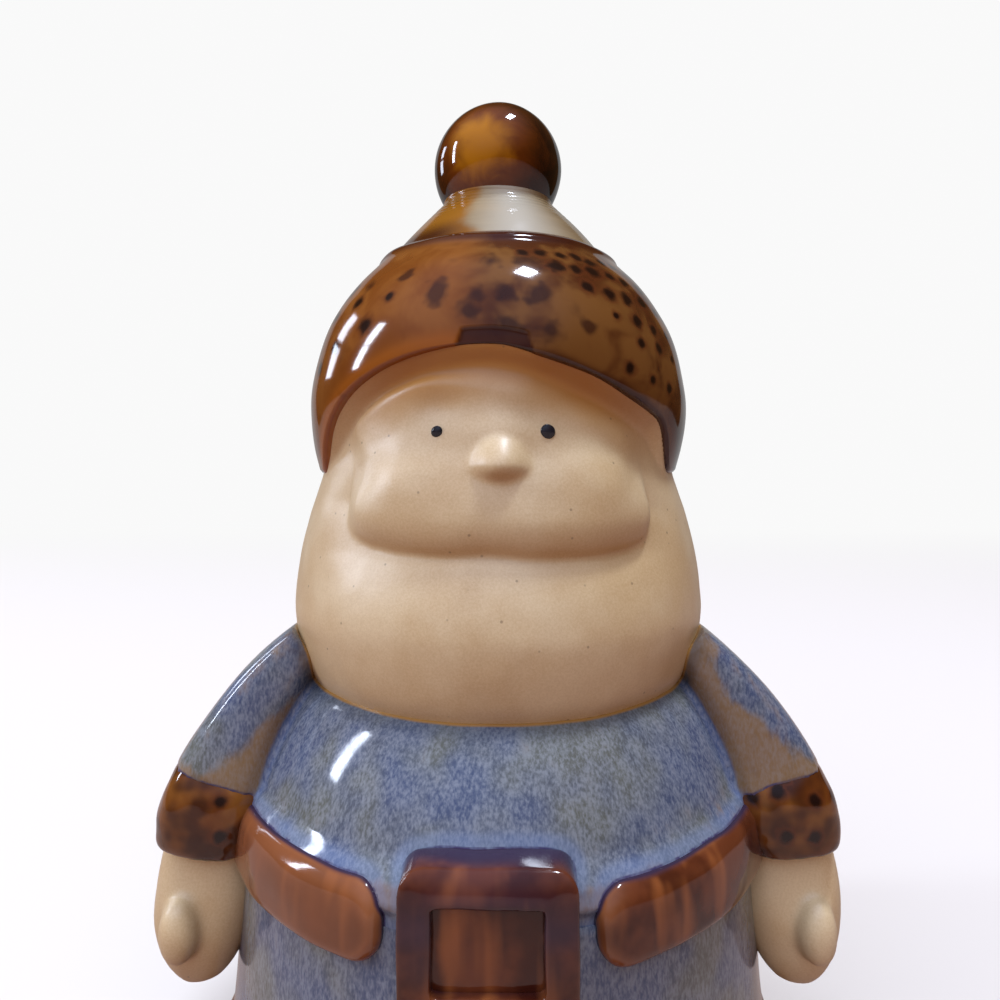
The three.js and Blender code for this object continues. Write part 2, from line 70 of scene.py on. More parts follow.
def smooth_line(points, steps):
    """A soft line through a few (radius, height) points, with a number of steps between each two."""
    points = [Vector(point) for point in points]
    guides = [2 * points[0] - points[1], *points, 2 * points[-1] - points[-2]]
    line = []
    for before, start, stop, after in zip(guides, guides[1:], guides[2:], guides[3:]):
        for step in range(steps):
            t = step / steps
            bend = 2 * before - 5 * start + 4 * stop - after
            twist = 3 * (start - stop) + after - before
            line.append((2 * start + (stop - before) * t + bend * t ** 2 + twist * t ** 3) / 2)
    return [*line, points[-1]]


def radius_at(line, height):
    """The radius, at a height, of a line of (radius, height) points listed from the bottom up."""
    above = bisect.bisect(line, height, key=lambda point: point[1])
    above = min(max(above, 1), len(line) - 1)
    start, stop = line[above - 1], line[above]
    share = (height - start[1]) / (stop[1] - start[1])
    return start[0] + (stop[0] - start[0]) * min(max(share, 0), 1)


def turned(outline, steps=TURNING_STEPS):
    """A form turned on the wheel: an outline of (radius, height) points spun round the upright axis.

    One sector is spun and then repeated all round, which is much quicker than one long spin.
    """
    sector = 2 * math.pi / TURNING_SECTORS
    wheel = {"cent": (0, 0, 0), "axis": (0, 0, 1)}
    form = bmesh.new()
    line = [form.verts.new((0, -radius, height)) for radius, height in outline]
    edges = [form.edges.new(pair) for pair in zip(line, line[1:])]
    bmesh.ops.spin(form, geom=line + edges, angle=sector, steps=steps // TURNING_SECTORS, **wheel)
    first = [*form.verts, *form.edges, *form.faces]
    bmesh.ops.spin(
        form, geom=first, angle=2 * math.pi - sector, steps=TURNING_SECTORS - 1, use_duplicate=True, **wheel)
    bmesh.ops.remove_doubles(form, verts=form.verts, dist=MERGE_DISTANCE)
    bmesh.ops.recalc_face_normals(form, faces=form.faces)
    return form


def rounded(form, edges, radius, segments):
    """Rounds some edges of a form off, as a damp sponge does."""
    bmesh.ops.bevel(
        form, geom=edges, offset=radius, segments=segments, profile=0.5, affect="EDGES", material=-1)


def hand_worked(form, depth, spacing):
    """The slight unevenness that fingers and a sponge leave in soft clay."""
    form.normal_update()
    for vert in form.verts:
        vert.co += vert.normal * depth * noise.noise(vert.co / spacing)


def set_down(form):
    """Presses whatever reaches below the floor flat on it."""
    for vert in form.verts:
        vert.co.z = max(vert.co.z, 0)


def loose(form, name):
    """A form as an object in the scene."""
    mesh = bpy.data.meshes.new(name)
    form.to_mesh(mesh)
    form.free()
    thing = bpy.data.objects.new(name, mesh)
    bpy.context.scene.collection.objects.link(thing)
    return thing


def modified(form, *modifiers):
    """A form after modifiers, each given as its kind and a dict of settings."""
    lump = loose(form, "soft_clay")
    for kind, settings in modifiers:
        modifier = lump.modifiers.new(kind.lower(), kind)
        for name, value in settings.items():
            setattr(modifier, name, value)
    result = bmesh.new()
    result.from_object(lump, bpy.context.evaluated_depsgraph_get())
    bpy.data.objects.remove(lump)
    return result


def paint(piece, mark, values):
    """A number kept at every point of a piece, for its glaze to read."""
    attribute = piece.data.attributes.new(mark, "FLOAT", "POINT")
    attribute.data.foreach_set("value", values)


def as_piece(form, name, **marks):
    """A finished form as an object of its own, in metres and smooth shaded, with its marks painted on."""
    bmesh.ops.scale(form, vec=(MM, MM, MM), verts=form.verts)
    piece = loose(form, name)
    piece.data.shade_smooth()
    for mark, values in marks.items():
        paint(piece, mark, values)
    return piece


def set_on_figure(piece, finish, slot, *nodes):
    """Gives a piece its finish, and sets it on the figure in place of its solids."""
    piece.data.materials.append(finish)
    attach(piece, "root")
    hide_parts(*nodes)


def linear(colour):
    """An sRGB hex colour as the linear colour that a shader takes."""
    channels = [int(colour[place:place + 2], 16) / 255 for place in (1, 3, 5)]
    return [c / 12.92 if c <= 0.04045 else ((c + 0.055) / 1.055) ** 2.4 for c in channels] + [1]


def grain(size):
    """The scale of a pattern whose marks are about this many millimetres apart."""
    return 1 / (size * MM)


def add_node(material, kind, inputs, output=None, **settings):
    """Adds a node with its settings, sets or links its inputs, and gives back one of its outputs.

    An input is another node's output, a number, a vector or a hex colour.
    """
    tree = material.node_tree
    node = tree.nodes.new(kind)
    for name, value in settings.items():
        setattr(node, name, value)
    sockets = {socket.identifier: socket for socket in node.inputs}
    for name, value in inputs.items():
        if isinstance(value, bpy.types.NodeSocket):
            tree.links.new(value, sockets[name])
        else:
            sockets[name].default_value = linear(value) if isinstance(value, str) else value
    if output:
        return node.outputs[output]
    return next((socket for socket in node.outputs if socket.enabled), None)


def new_material(name, *marks):
    """A new material, then the place of each point on its piece and the marks painted there."""
    material = bpy.data.materials.new(name)
    material.use_nodes = True
    material.node_tree.nodes.clear()
    place = add_node(material, "ShaderNodeTexCoord", {}, "Object")
    painted = (add_node(material, "ShaderNodeAttribute", {}, "Fac", attribute_name=mark) for mark in marks)
    return material, place, *painted


def layered(material, under, over, cover, start=None, stop=None, most=1):
    """One colour laid over another, as thickly as the cover says, from 0 to 1.

    With a start and a stop, it goes on in a soft step between these values of the cover, up to the most.
    """
    if start is not None:
        cover = add_node(
            material, "ShaderNodeMapRange",
            {"Value": cover, "From Min": start, "From Max": stop, "To Max": most},
            interpolation_type="SMOOTHSTEP")
    return add_node(
        material, "ShaderNodeMix",
        {"Factor_Float": cover, "A_Color": under, "B_Color": over}, data_type="RGBA")


def finished(material, surface_inputs):
    """Gives a material its surface, and ends it there."""
    surface = add_node(material, "ShaderNodeBsdfPrincipled", surface_inputs)
    add_node(material, "ShaderNodeOutputMaterial", {"Surface": surface})
    return material


def blue_glaze():
    """Rutile glaze on stoneware, fired until it ran: a slate blue glass full of pale crystal flecks.

    The flecks are drawn out downwards, the glass is bluest where it pooled in a hollow, and it breaks
    to tan where it ran thin on an edge or stopped short of bare clay.
    """
    glaze, place, pool, thin, bare_edge, brown_edge, belt_edge = new_material(
        "rutile_blue_stoneware_glaze", "pool", "thin", "bare_edge", "brown_edge", "belt_edge")
    run = add_node(glaze, "ShaderNodeMapping", {"Vector": place, "Scale": (1, 1, 0.4)})
    cloud = add_node(glaze, "ShaderNodeTexNoise", {"Vector": place, "Scale": grain(14), "Detail": 2})
    drift = add_node(glaze, "ShaderNodeTexNoise", {"Vector": run, "Scale": grain(2.1), "Detail": 2})
    fleck = add_node(
        glaze, "ShaderNodeTexNoise", {"Vector": run, "Scale": grain(0.42), "Detail": 2, "Roughness": 0.6})

    glass = layered(glaze, "#434f6a", "#5d6058", cloud, 0.38, 0.62)
    breaking = add_node(
        glaze, "ShaderNodeMath", {"Value": drift, "Value_001": 1.3, "Value_002": thin},
        operation="MULTIPLY_ADD")
    broken = add_node(
        glaze, "ShaderNodeMapRange",
        {"Value": breaking, "From Min": 0.8, "From Max": 1.6, "To Max": 0.85},
        interpolation_type="SMOOTHSTEP")
    tanned = layered(glaze, glass, "#86683f", broken)
    pooled = layered(glaze, tanned, "#4f6085", pool)
    spread = add_node(
        glaze, "ShaderNodeMath", {"Value": drift, "Value_001": 0.5, "Value_002": fleck},
        operation="MULTIPLY_ADD")
    thick = add_node(
        glaze, "ShaderNodeMath", {"Value": broken, "Value_001": -0.35, "Value_002": 0.5},
        operation="MULTIPLY_ADD")
    crystals = layered(glaze, pooled, "#9aa2aa", spread, 0.5, 1.02, thick)
    milky = layered(glaze, crystals, "#7186ac", belt_edge, 0.25, 0.9, 0.4)
    uneven = add_node(
        glaze, "ShaderNodeMapRange", {"Value": drift, "From Min": 0.38, "From Max": 0.6, "To Min": 0.2})
    fringed = layered(glaze, milky, "#3f3a5c", brown_edge, 0.8, 0.97, uneven)
    # Painted shade: a darker grey band on the coat just under the beard, where the beard shades it.
    shaded_under_beard = layered(glaze, fringed, "#3c4148", bare_edge, 0.2, 0.9, 0.45)
    toasted = layered(glaze, shaded_under_beard, "#96703a", bare_edge, 0.95, 0.995)
    skin = add_node(glaze, "ShaderNodeBump", {"Height": drift, "Strength": 0.25, "Distance": 0.05 * MM})
    return finished(glaze, {"Base Color": toasted, "Roughness": 0.1, "IOR": 1.5, "Normal": skin})


foot_radius = node_box("skirt")[1].x
skirt_top = node_box("skirt")[1].z
waist_radius = node_box("coat")[1].x
skirt_side = smooth_line([
    (foot_radius, 0),
    ((foot_radius + waist_radius) / 2 - SKIRT_HOLLOW, skirt_top / 2),
    (waist_radius, skirt_top + SEAM_OVERLAP),
], steps=30)
drum = turned([(0, 0), *skirt_side, (0, skirt_top + SEAM_OVERLAP)])
foot_edges = [
    edge for edge in drum.edges
    if all(vert.co.z == 0 and vert.co.xy.length > foot_radius - 1 for vert in edge.verts)]
rounded(drum, foot_edges, FOOT_ROUNDING, segments=4)
hand_worked(drum, depth=0.3, spacing=16)
set_down(drum)
vent = bmesh.new()
bmesh.ops.create_cone(
    vent, cap_ends=True, segments=40, radius1=VENT_RADIUS, radius2=VENT_RADIUS, depth=2 * VENT_DEPTH,
    matrix=Matrix.Translation((0, VENT_SETBACK, 0)))
vent_plug = loose(vent, "vent_plug")
drum = modified(drum, ("BOOLEAN", {"object": vent_plug, "operation": "DIFFERENCE", "solver": "EXACT"}))
bpy.data.objects.remove(vent_plug)
skirt = as_piece(drum, "glazed_skirt")
coat_glaze = blue_glaze()
set_on_figure(skirt, coat_glaze, "blue_glaze", "skirt")

# Hem trim
# A fat roll of clay pressed round the foot of the skirt to stand for fur, dabbed over with brown glaze.
# The glaze is the spotted one of the hat brim and the cuffs.
HEM_THICKNESS = 4
HEM_BACK = 2
HEM_STEPS = 24
HEM_SMEARS = 0.4
DAB_SEED = 24
DAB_REACH = 1.6
DAB_VARIETY = 0.4
DAB_STRAY = 0.3
DAB_RAGGEDNESS = 0.35
DAB_CHANCE = 2.2
STRAY_PATTERN = 1.37
CHANCE_PATTERN = 2.31
EDGE_PATTERN = 0.9


def spotted_glaze():
    """Iron glaze on stoneware, brushed on thickly and dabbed over with a darker one.

    It is a glossy tan glass with dark oval spots and smears, red brown where it is thick, and orange
    where it thins out over an edge.
    """
    glaze, place, spots, smears, pool, thin = new_material(
        "spotted_iron_stoneware_glaze", "spots", "smears", "pool", "thin")
    cloud = add_node(
        glaze, "ShaderNodeTexNoise", {"Vector": place, "Scale": grain(9), "Detail": 3, "Distortion": 0.5})
    wash = add_node(glaze, "ShaderNodeTexNoise", {"Vector": place, "Scale": grain(4), "Detail": 1})

    body = layered(glaze, "#4a240e", "#724a22", cloud, 0.38, 0.62)
    edged = layered(glaze, body, "#94541a", thin)
    sooty = add_node(
        glaze, "ShaderNodeMath", {"Value": smears, "Value_001": 0.6, "Value_002": wash},
        operation="MULTIPLY_ADD")
    dark = layered(glaze, edged, "#2a0f0c", sooty, 0.6, 1, 0.8)
    ringed = layered(glaze, dark, "#5a2c14", spots, 0.05, 0.4, 0.5)
    spotted = layered(glaze, ringed, "#1a0a08", spots, 0.3, 0.75)
    pooled = layered(glaze, spotted, "#340f0a", pool)
    skin = add_node(glaze, "ShaderNodeBump", {"Height": cloud, "Strength": 0.3, "Distance": 0.12 * MM})
    return finished(glaze, {"Base Color": pooled, "Roughness": 0.09, "IOR": 1.5, "Normal": skin})


def scattered(form, spacing, size, share):
    """Dabs laid about a spacing apart over a form, a share of them kept: their places and sizes."""
    skin = BVHTree.FromBMesh(form)
    low = [min(vert.co[axis] for vert in form.verts) for axis in range(3)]
    high = [max(vert.co[axis] for vert in form.verts) for axis in range(3)]
    counts = [math.ceil((high[axis] - low[axis]) / spacing) for axis in range(3)]
    dabs = []
    for up, back, across in itertools.product(*(range(count) for count in reversed(counts))):
        corner = Vector([start + spacing * (cell + 0.5) for start, cell in zip(low, (across, back, up))])
        stray = noise.noise_vector(corner * STRAY_PATTERN)
        place, _, _, gap = skin.find_nearest(corner + DAB_STRAY * spacing * stray)
        if gap < spacing / 2 and abs(noise.noise(corner * CHANCE_PATTERN)) * DAB_CHANCE < share:
            dabs.append((place, size * (1 + DAB_VARIETY * stray.z)))
    return dabs


def dabbed(form, dabs):
    """How much each point of a form lies in one of the dabs: 1 in its middle, 0 well outside."""
    tree = KDTree(len(dabs))
    for index, (place, _) in enumerate(dabs):
        tree.insert(place, index)
    tree.balance()
    values = []
    for vert in form.verts:
        _, index, gap = tree.find(vert.co)
        ragged = gap * (1 + DAB_RAGGEDNESS * noise.noise(vert.co * EDGE_PATTERN))
        values.append(max(DAB_REACH - ragged / dabs[index][1], 0) / DAB_REACH)
    return values


noise.seed_set(DAB_SEED)
hem_low, hem_high = node_box("hem_trim")
hem_middle = (hem_low.z + hem_high.z) / 2
hem_half = (hem_high.z - hem_low.z) / 2
hem_face = []
for step in range(HEM_STEPS + 1):
    slope = math.pi * (step / HEM_STEPS - 0.5)
    height = hem_middle + hem_half * math.sin(slope)
    hem_face.append((radius_at(skirt_side, height) + HEM_THICKNESS * max(math.cos(slope), 0) ** 0.5, height))
hem_back = radius_at(skirt_side, hem_middle) - HEM_BACK
hem_form = turned([(hem_back, hem_low.z), *hem_face, (hem_back, hem_high.z), (hem_back, hem_low.z)])
hand_worked(hem_form, depth=0.5, spacing=9)
hand_worked(hem_form, depth=0.35, spacing=4)
hem_spots = dabbed(hem_form, scattered(hem_form, spacing=4.4, size=1.2, share=0.8))
hem = as_piece(hem_form, "hem_roll", spots=hem_spots, smears=[HEM_SMEARS] * len(hem_spots))
fur_glaze = spotted_glaze()
set_on_figure(hem, fur_glaze, "brown_glaze", "hem_trim")

# Boots
# Two toe caps of solid clay tucked under the hem, flat below, in the plain brown glaze of the belt.
# Only the toes stand out in front of the skirt.
BOOT_BOXINESS = 2.7
SOLE_ROUNDING = 1.2


def strap_glaze():
    """Iron glaze on stoneware, poured: a glossy dark red brown that ran down in orange bands.

    It breaks to orange on the edges, and turns violet black where it runs into the blue.
    """
    glaze, place, thin, blue_edge = new_material("brown_iron_stoneware_glaze", "thin", "blue_edge")
    run = add_node(glaze, "ShaderNodeMapping", {"Vector": place, "Scale": (1, 1, 0.16)})
    bands = add_node(glaze, "ShaderNodeTexNoise", {"Vector": run, "Scale": grain(4.6), "Detail": 2})
    cloud = add_node(glaze, "ShaderNodeTexNoise", {"Vector": place, "Scale": grain(8), "Detail": 3})

    body = layered(glaze, "#3a150a", "#60301a", cloud, 0.36, 0.62)
    banded = layered(glaze, body, "#96572c", bands, 0.5, 0.74, 0.7)
    edged = layered(glaze, banded, "#8a5534", thin)
    fringed = layered(glaze, edged, "#33273a", blue_edge, 0.3, 0.9)
    skin = add_node(glaze, "ShaderNodeBump", {"Height": cloud, "Strength": 0.3, "Distance": 0.12 * MM})
    return finished(glaze, {"Base Color": fringed, "Roughness": 0.11, "IOR": 1.5, "Normal": skin})


brown_glaze = strap_glaze()
for name in ("left_boot", "right_boot"):
    boot_low, boot_high = node_box(name)
    half = (boot_high - boot_low) / 2
    half.z = boot_high.z
    middle = Vector(((boot_low.x + boot_high.x) / 2, (boot_low.y + boot_high.y) / 2, 0))
    toe = bmesh.new()
    bmesh.ops.create_uvsphere(toe, u_segments=96, v_segments=64, radius=1)
    for vert in toe.verts:
        fullness = sum(abs(part) ** BOOT_BOXINESS for part in vert.co) ** (-1 / BOOT_BOXINESS)
        vert.co = middle + half * (vert.co * fullness)
    everything = [*toe.verts, *toe.edges, *toe.faces]
    cut = bmesh.ops.bisect_plane(
        toe, geom=everything, plane_co=(0, 0, 0), plane_no=(0, 0, 1), clear_inner=True)
    rim = [part for part in cut["geom_cut"] if isinstance(part, bmesh.types.BMEdge)]
    bmesh.ops.edgenet_fill(toe, edges=rim)
    rounded(toe, rim, SOLE_ROUNDING, segments=4)
    bmesh.ops.recalc_face_normals(toe, faces=toe.faces)
    hand_worked(toe, depth=0.35, spacing=9)
    set_down(toe)
    boot = as_piece(toe, f"{name}_toe")
    set_on_figure(boot, brown_glaze, "brown_glaze", name)

# Upper coat and sleeves
# The belly closes in to the collar, and each sleeve is a roll of clay luted to its side and smoothed over,
# so coat and sleeves share one skin of blue glaze, which pools in the groove between them.
# Where a pair of values is for the two sides, the figure's right comes first.
BELLY_FULLNESS = 1.3
BELLY_STEPS = 40
COLLAR_RADIUS = 37.5
COLLAR_RISE = 2
COAT_TUCK = 2.5
COAT_LAP = 1.3
LAP_TOP = (3, -1)
LAP_FOOT = (-5, -2.5)
LAP_RADII = (53, 50)
COAT_INNER_RADIUS = 40
SHOULDER = Vector((38.1, -11, 94.1))
ELBOW = Vector((57.1, -16, 73))
FINGERS = Vector((53.5, -17, 36))
ARM_INNER_REACH = 1.5
ARM_SQUARENESS = 3.2
ARM_SIDES = 48
SLEEVE_START = -0.06
SLEEVE_END = 0.41
SLEEVE_TOP = (3.6, 11)
SLEEVE_CUFF = (7.2, 12)
TAN_ONSET = (0.5, 1.8)
TAN_WIDTHS = (3.5, 8.5)
TAN_SPREAD = 0.5
TAN_EDGE = 2.5
TAN_TOPS = (94, 106)
TAN_FADE = 10
PATCHES = ((0.85, 0.5), (-0.85, 0.35))
PATCH_TURN = 0.16
PATCH_HEIGHT = 71.5
PATCH_SPREAD = 3.5
PATCH_OFFSET = (1, 0.3)
POOL_DEPTHS = (0.1, 0.45)
RIDGE_HEIGHTS = (0.2, 0.6)
RIDGE_THINNING = 0.6


def between(start, stop, share):
    """The value a share of the way from start to stop."""
    return start + (stop - start) * share


def ramp(value, start, stop):
    """0 before start, 1 after stop, with a soft step between them."""
    t = min(max((value - start) / (stop - start), 0), 1)
    return t * t * (3 - 2 * t)


def bell(value, middle, spread):
    """A soft rise round a middle value."""
    return math.exp(-((value - middle) / spread) ** 2)


def turn_of(point):
    """How far a point lies round the figure from the front, towards the figure's left."""
    return math.atan2(point.x, -point.y)


def arm_point(at):
    """A point on the left arm's centre line, from 0 at the shoulder to 1 at the finger tips."""
    return (1 - at) ** 2 * SHOULDER + 2 * at * (1 - at) * ELBOW + at ** 2 * FINGERS


def arm_stretch(form, side, start, end, rings, size_at, squareness=ARM_SQUARENESS):
    """A stretch of an arm: rings along its centre line, bridged, with both ends closed."""

    def squared(value):
        return math.copysign(abs(value) ** (2 / squareness), value)

    loops = []
    for step in range(rings + 1):
        share = step / rings
        at = between(start, end, share)
        centre = arm_point(at)
        along = ((1 - at) * (ELBOW - SHOULDER) + at * (FINGERS - ELBOW)).normalized()
        fore = (Vector((0, -1, 0)) + along * along.y).normalized()
        out = fore.cross(along)
        width, depth = size_at(share)
        ends = step in (0, rings)
        ring = bmesh.ops.create_circle(form, cap_ends=ends, segments=ARM_SIDES, radius=1)["verts"]
        loops.append(list({edge for vert in ring for edge in vert.link_edges}))
        for vert in ring:
            reach = width * (ARM_INNER_REACH if vert.co.x < 0 else 1)
            vert.co = centre + out * squared(vert.co.x) * reach + fore * squared(vert.co.y) * depth
            vert.co.x *= side
    for upper, lower in zip(loops, loops[1:]):
        bmesh.ops.bridge_loops(form, edges=upper + lower)


def luted(form, voxel, rounds):
    """Soft clay pressed together: one skin over all the shapes, with the creases smoothed."""
    bmesh.ops.recalc_face_normals(form, faces=form.faces)
    return modified(
        form,
        ("REMESH", {"mode": "VOXEL", "voxel_size": voxel}),
        ("SMOOTH", {"factor": 0.5, "iterations": rounds}))


def sponged(form, rounds):
    """Smooths a form all over, a number of times."""
    for _ in range(rounds):
        bmesh.ops.smooth_vert(
            form, verts=form.verts, factor=0.5, use_axis_x=True, use_axis_y=True, use_axis_z=True)


def hollows(form, rounds):
    """How deep each point lies in a hollow, in millimetres; a ridge is negative."""
    soft = form.copy()
    sponged(soft, rounds)
    form.normal_update()
    depths = [(far.co - near.co).dot(near.normal) for near, far in zip(form.verts, soft.verts)]
    soft.free()
    return depths


def sleeve_size(share):
    """Half width and half depth of a sleeve, wider towards the cuff."""
    return [between(top, cuff, share) for top, cuff in zip(SLEEVE_TOP, SLEEVE_CUFF)]


def coat_lap(point):
    """How far the belly swells out over the top of the belt, between the arms, in millimetres."""
    above_belt = point.z - belt_top
    band = ramp(above_belt, *LAP_TOP) * ramp(above_belt, *LAP_FOOT)
    return COAT_LAP * band * ramp(point.xy.length, *LAP_RADII)


def coat_tan(point):
    """How thin the glaze ran at a point: along the inner flank of each sleeve, and in a patch beside it."""
    proud = point.xy.length - radius_at(belly, point.z)
    left = point.x > 0
    flank = TAN_WIDTHS[left] + TAN_SPREAD * (coat_high.z - point.z)
    tan = ramp(proud, *TAN_ONSET) * ramp(proud, flank + TAN_EDGE, flank - TAN_EDGE)
    tan *= ramp(point.z, TAN_TOPS[left], TAN_TOPS[left] - TAN_FADE)
    for patch_turn, strength in PATCHES:
        patch = bell(turn_of(point), patch_turn, PATCH_TURN) * bell(point.z, PATCH_HEIGHT, PATCH_SPREAD)
        tan += strength * patch * ramp(proud, *PATCH_OFFSET)
    return tan


coat_low, coat_high = node_box("coat")
belt_top = node_box("belt")[1].z
belly = []
for step in range(BELLY_STEPS + 1):
    turn = step / BELLY_STEPS * math.pi / 2
    out = max(math.cos(turn), 0) ** (2 / BELLY_FULLNESS)
    up = math.sin(turn) ** (2 / BELLY_FULLNESS)
    belly.append(Vector((between(COLLAR_RADIUS, waist_radius, out), between(coat_low.z, coat_high.z, up))))
coat_foot = coat_low.z - COAT_TUCK
collar_top = coat_high.z + COLLAR_RISE
collar = [(COLLAR_RADIUS - 1.3, coat_high.z + 1.2), (COLLAR_RADIUS - 4, collar_top), (0, collar_top)]
coat_form = turned([(0, coat_foot), (waist_radius - 0.1, coat_foot), *belly, *collar])
for side in (1, -1):
    arm_stretch(coat_form, side, SLEEVE_START, SLEEVE_END, rings=16, size_at=sleeve_size)
coat_form = luted(coat_form, voxel=0.55, rounds=12)
for vert in coat_form.verts:
    radius = vert.co.xy.length
    if radius > COAT_INNER_RADIUS:
        vert.co.xy *= 1 + coat_lap(vert.co) / radius
hand_worked(coat_form, depth=0.3, spacing=13)
coat_hollows = hollows(coat_form, rounds=60)
coat_pool = [ramp(hollow, *POOL_DEPTHS) for hollow in coat_hollows]
coat_thin = [
    coat_tan(vert.co) + RIDGE_THINNING * ramp(-hollow, *RIDGE_HEIGHTS)
    for vert, hollow in zip(coat_form.verts, coat_hollows)]
coat = as_piece(coat_form, "coat_and_sleeves", pool=coat_pool, thin=coat_thin)
set_on_figure(coat, coat_glaze, "blue_glaze", "coat", "left_sleeve", "right_sleeve")

# Belt
# A flat strap of clay wrapped round the waist from one side of the buckle to the other, with rounded ends.
# It is pressed on over the seam of coat and skirt, and its brown glaze ran down in bands.
BELT_THICKNESS = 2.6
BELT_BACK = 1.5
BELT_END_RADIUS = 4.5
BELT_SOFTENING = 2
BELT_CUTS = 180
BELT_ROLL_OVER = 7
BELT_ROLL_DEPTH = 0.85
BUCKLE_CLEARANCE = 3.3
THIN_EDGE_HEIGHTS = (0.1, 0.5)
THIN_END = -25
THIN_END_SHARE = 0.6


def at_turn(turn, radius, height):
    """A point of the figure: a turn from the front, a distance from the axis and a height."""
    return Vector((radius * math.sin(turn), -radius * math.cos(turn), height))


def through_edges(slab):
    """The edges of a slab that run from its face to its back."""
    return [edge for edge in slab.edges if abs((edge.verts[0].co - edge.verts[1].co).normalized().y) > 0.9]


def rolled_back(proud, below_top, roll, depth):
    """How far a face that stands proud is drawn back where its upper edge rolls over."""
    over = max(1 - below_top / roll, 0)
    return proud * (1 - math.sqrt(max(1 - depth * over ** 2, 0)))


belt_low, belt_high = node_box("belt")
buckle_low, buckle_high = node_box("buckle_frame")
belt_face = waist_radius + BELT_THICKNESS
belt_depth = BELT_THICKNESS + BELT_BACK
belt_start = math.asin((buckle_high.x + BUCKLE_CLEARANCE) / belt_face)
belt_stop = 2 * math.pi + math.asin((buckle_low.x - BUCKLE_CLEARANCE) / belt_face)
belt_length = (belt_stop - belt_start) * belt_face
strap = bmesh.new()
bmesh.ops.create_cube(
    strap, size=1, matrix=Matrix.Diagonal((belt_length, belt_depth, belt_high.z - belt_low.z, 1)))
rounded(strap, through_edges(strap), BELT_END_RADIUS, segments=8)
face_edges = [edge for edge in strap.edges if all(vert.co.y < 0 for vert in edge.verts)]
rounded(strap, face_edges, BELT_SOFTENING, segments=5)
for step in range(1, BELT_CUTS):
    everything = [*strap.verts, *strap.edges, *strap.faces]
    cut_at = (between(-belt_length / 2, belt_length / 2, step / BELT_CUTS), 0, 0)
    bmesh.ops.bisect_plane(strap, geom=everything, plane_co=cut_at, plane_no=(1, 0, 0))
for vert in strap.verts:
    turn = between(belt_start, belt_stop, vert.co.x / belt_length + 0.5)
    radius = belt_face - (vert.co.y + belt_depth / 2)
    vert.co = at_turn(turn, radius, vert.co.z + (belt_low.z + belt_high.z) / 2)
strap = luted(strap, voxel=0.45, rounds=8)
for vert in strap.verts:
    radius = vert.co.xy.length
    proud = max(radius - waist_radius, 0)
    vert.co.xy *= 1 - rolled_back(proud, belt_high.z - vert.co.z, BELT_ROLL_OVER, BELT_ROLL_DEPTH) / radius
hand_worked(strap, depth=0.25, spacing=8)
belt_thin = [
    min(ramp(-depth, *THIN_EDGE_HEIGHTS) + THIN_END_SHARE * ramp(vert.co.x, 0, THIN_END), 1)
    for depth, vert in zip(hollows(strap, rounds=40), strap.verts)]
belt = as_piece(strap, "belt_strap", thin=belt_thin)
set_on_figure(belt, brown_glaze, "brown_glaze", "belt")

# Buckle
# A rounded rectangle of clay set in the gap of the belt, with raised bars round a sunk panel.
# Bars and panel are slabs of clay, bent a little to the belly and glazed with the belt.
BUCKLE_DEPTH = 4
BUCKLE_BACK = 3
BUCKLE_BAR = 4.5
BUCKLE_CORNER = 3
BUCKLE_BEND = 0.5
BUCKLE_ROLL_DEPTH = 0.7
BUCKLE_THIN_SHARE = 0.15
POCKET_DEPTH = 3
POCKET_SLOPE = 0.4
PANEL_DROP = 1.6
PANEL_LAP = 0.5


def buckle_slab(margin, corner, front):
    """A round-cornered slab as large as the buckle less a margin, its face at a depth before the belly."""
    slab = bmesh.new()
    size = buckle_high - buckle_low
    middle = (buckle_low + buckle_high) / 2
    middle.y = (front + BUCKLE_BACK) / 2
    scale = (size.x - 2 * margin, BUCKLE_BACK - front, size.z - 2 * margin, 1)
    bmesh.ops.create_cube(slab, size=1, matrix=Matrix.Translation(middle) @ Matrix.Diagonal(scale))
    rounded(slab, through_edges(slab), corner, segments=6)
    return slab


def bent_to_belly(slab):
    """Moves a slab from its drawing plane to the front of the waist, bent a little round it."""
    for vert in slab.verts:
        vert.co.y += BUCKLE_BEND * vert.co.x ** 2 / (2 * waist_radius) - waist_radius


bars = buckle_slab(0, BUCKLE_CORNER, -BUCKLE_DEPTH)
front_face = min(bars.faces, key=lambda face: face.calc_center_median().y)
bmesh.ops.inset_region(bars, faces=[front_face], thickness=BUCKLE_BAR)
bmesh.ops.inset_region(bars, faces=[front_face], thickness=POCKET_SLOPE, depth=-POCKET_DEPTH)
bent_to_belly(bars)
bars = luted(bars, voxel=0.35, rounds=7)
for vert in bars.verts:
    proud = max(-waist_radius - vert.co.y, 0)
    vert.co.y += rolled_back(proud, buckle_high.z - vert.co.z, BUCKLE_BAR, BUCKLE_ROLL_DEPTH)
hand_worked(bars, depth=0.2, spacing=6)
bars_thin = [BUCKLE_THIN_SHARE * ramp(-depth, *THIN_EDGE_HEIGHTS) for depth in hollows(bars, rounds=30)]
buckle = as_piece(bars, "buckle_bars", thin=bars_thin)
set_on_figure(buckle, brown_glaze, "brown_glaze", "buckle_frame")
panel_form = buckle_slab(BUCKLE_BAR - PANEL_LAP, BUCKLE_CORNER / 2, PANEL_DROP - BUCKLE_DEPTH)
bent_to_belly(panel_form)
panel_form = luted(panel_form, voxel=0.35, rounds=8)
hand_worked(panel_form, depth=0.2, spacing=5)
panel = as_piece(panel_form, "buckle_panel")
set_on_figure(panel, brown_glaze, "brown_glaze", "buckle_plate")

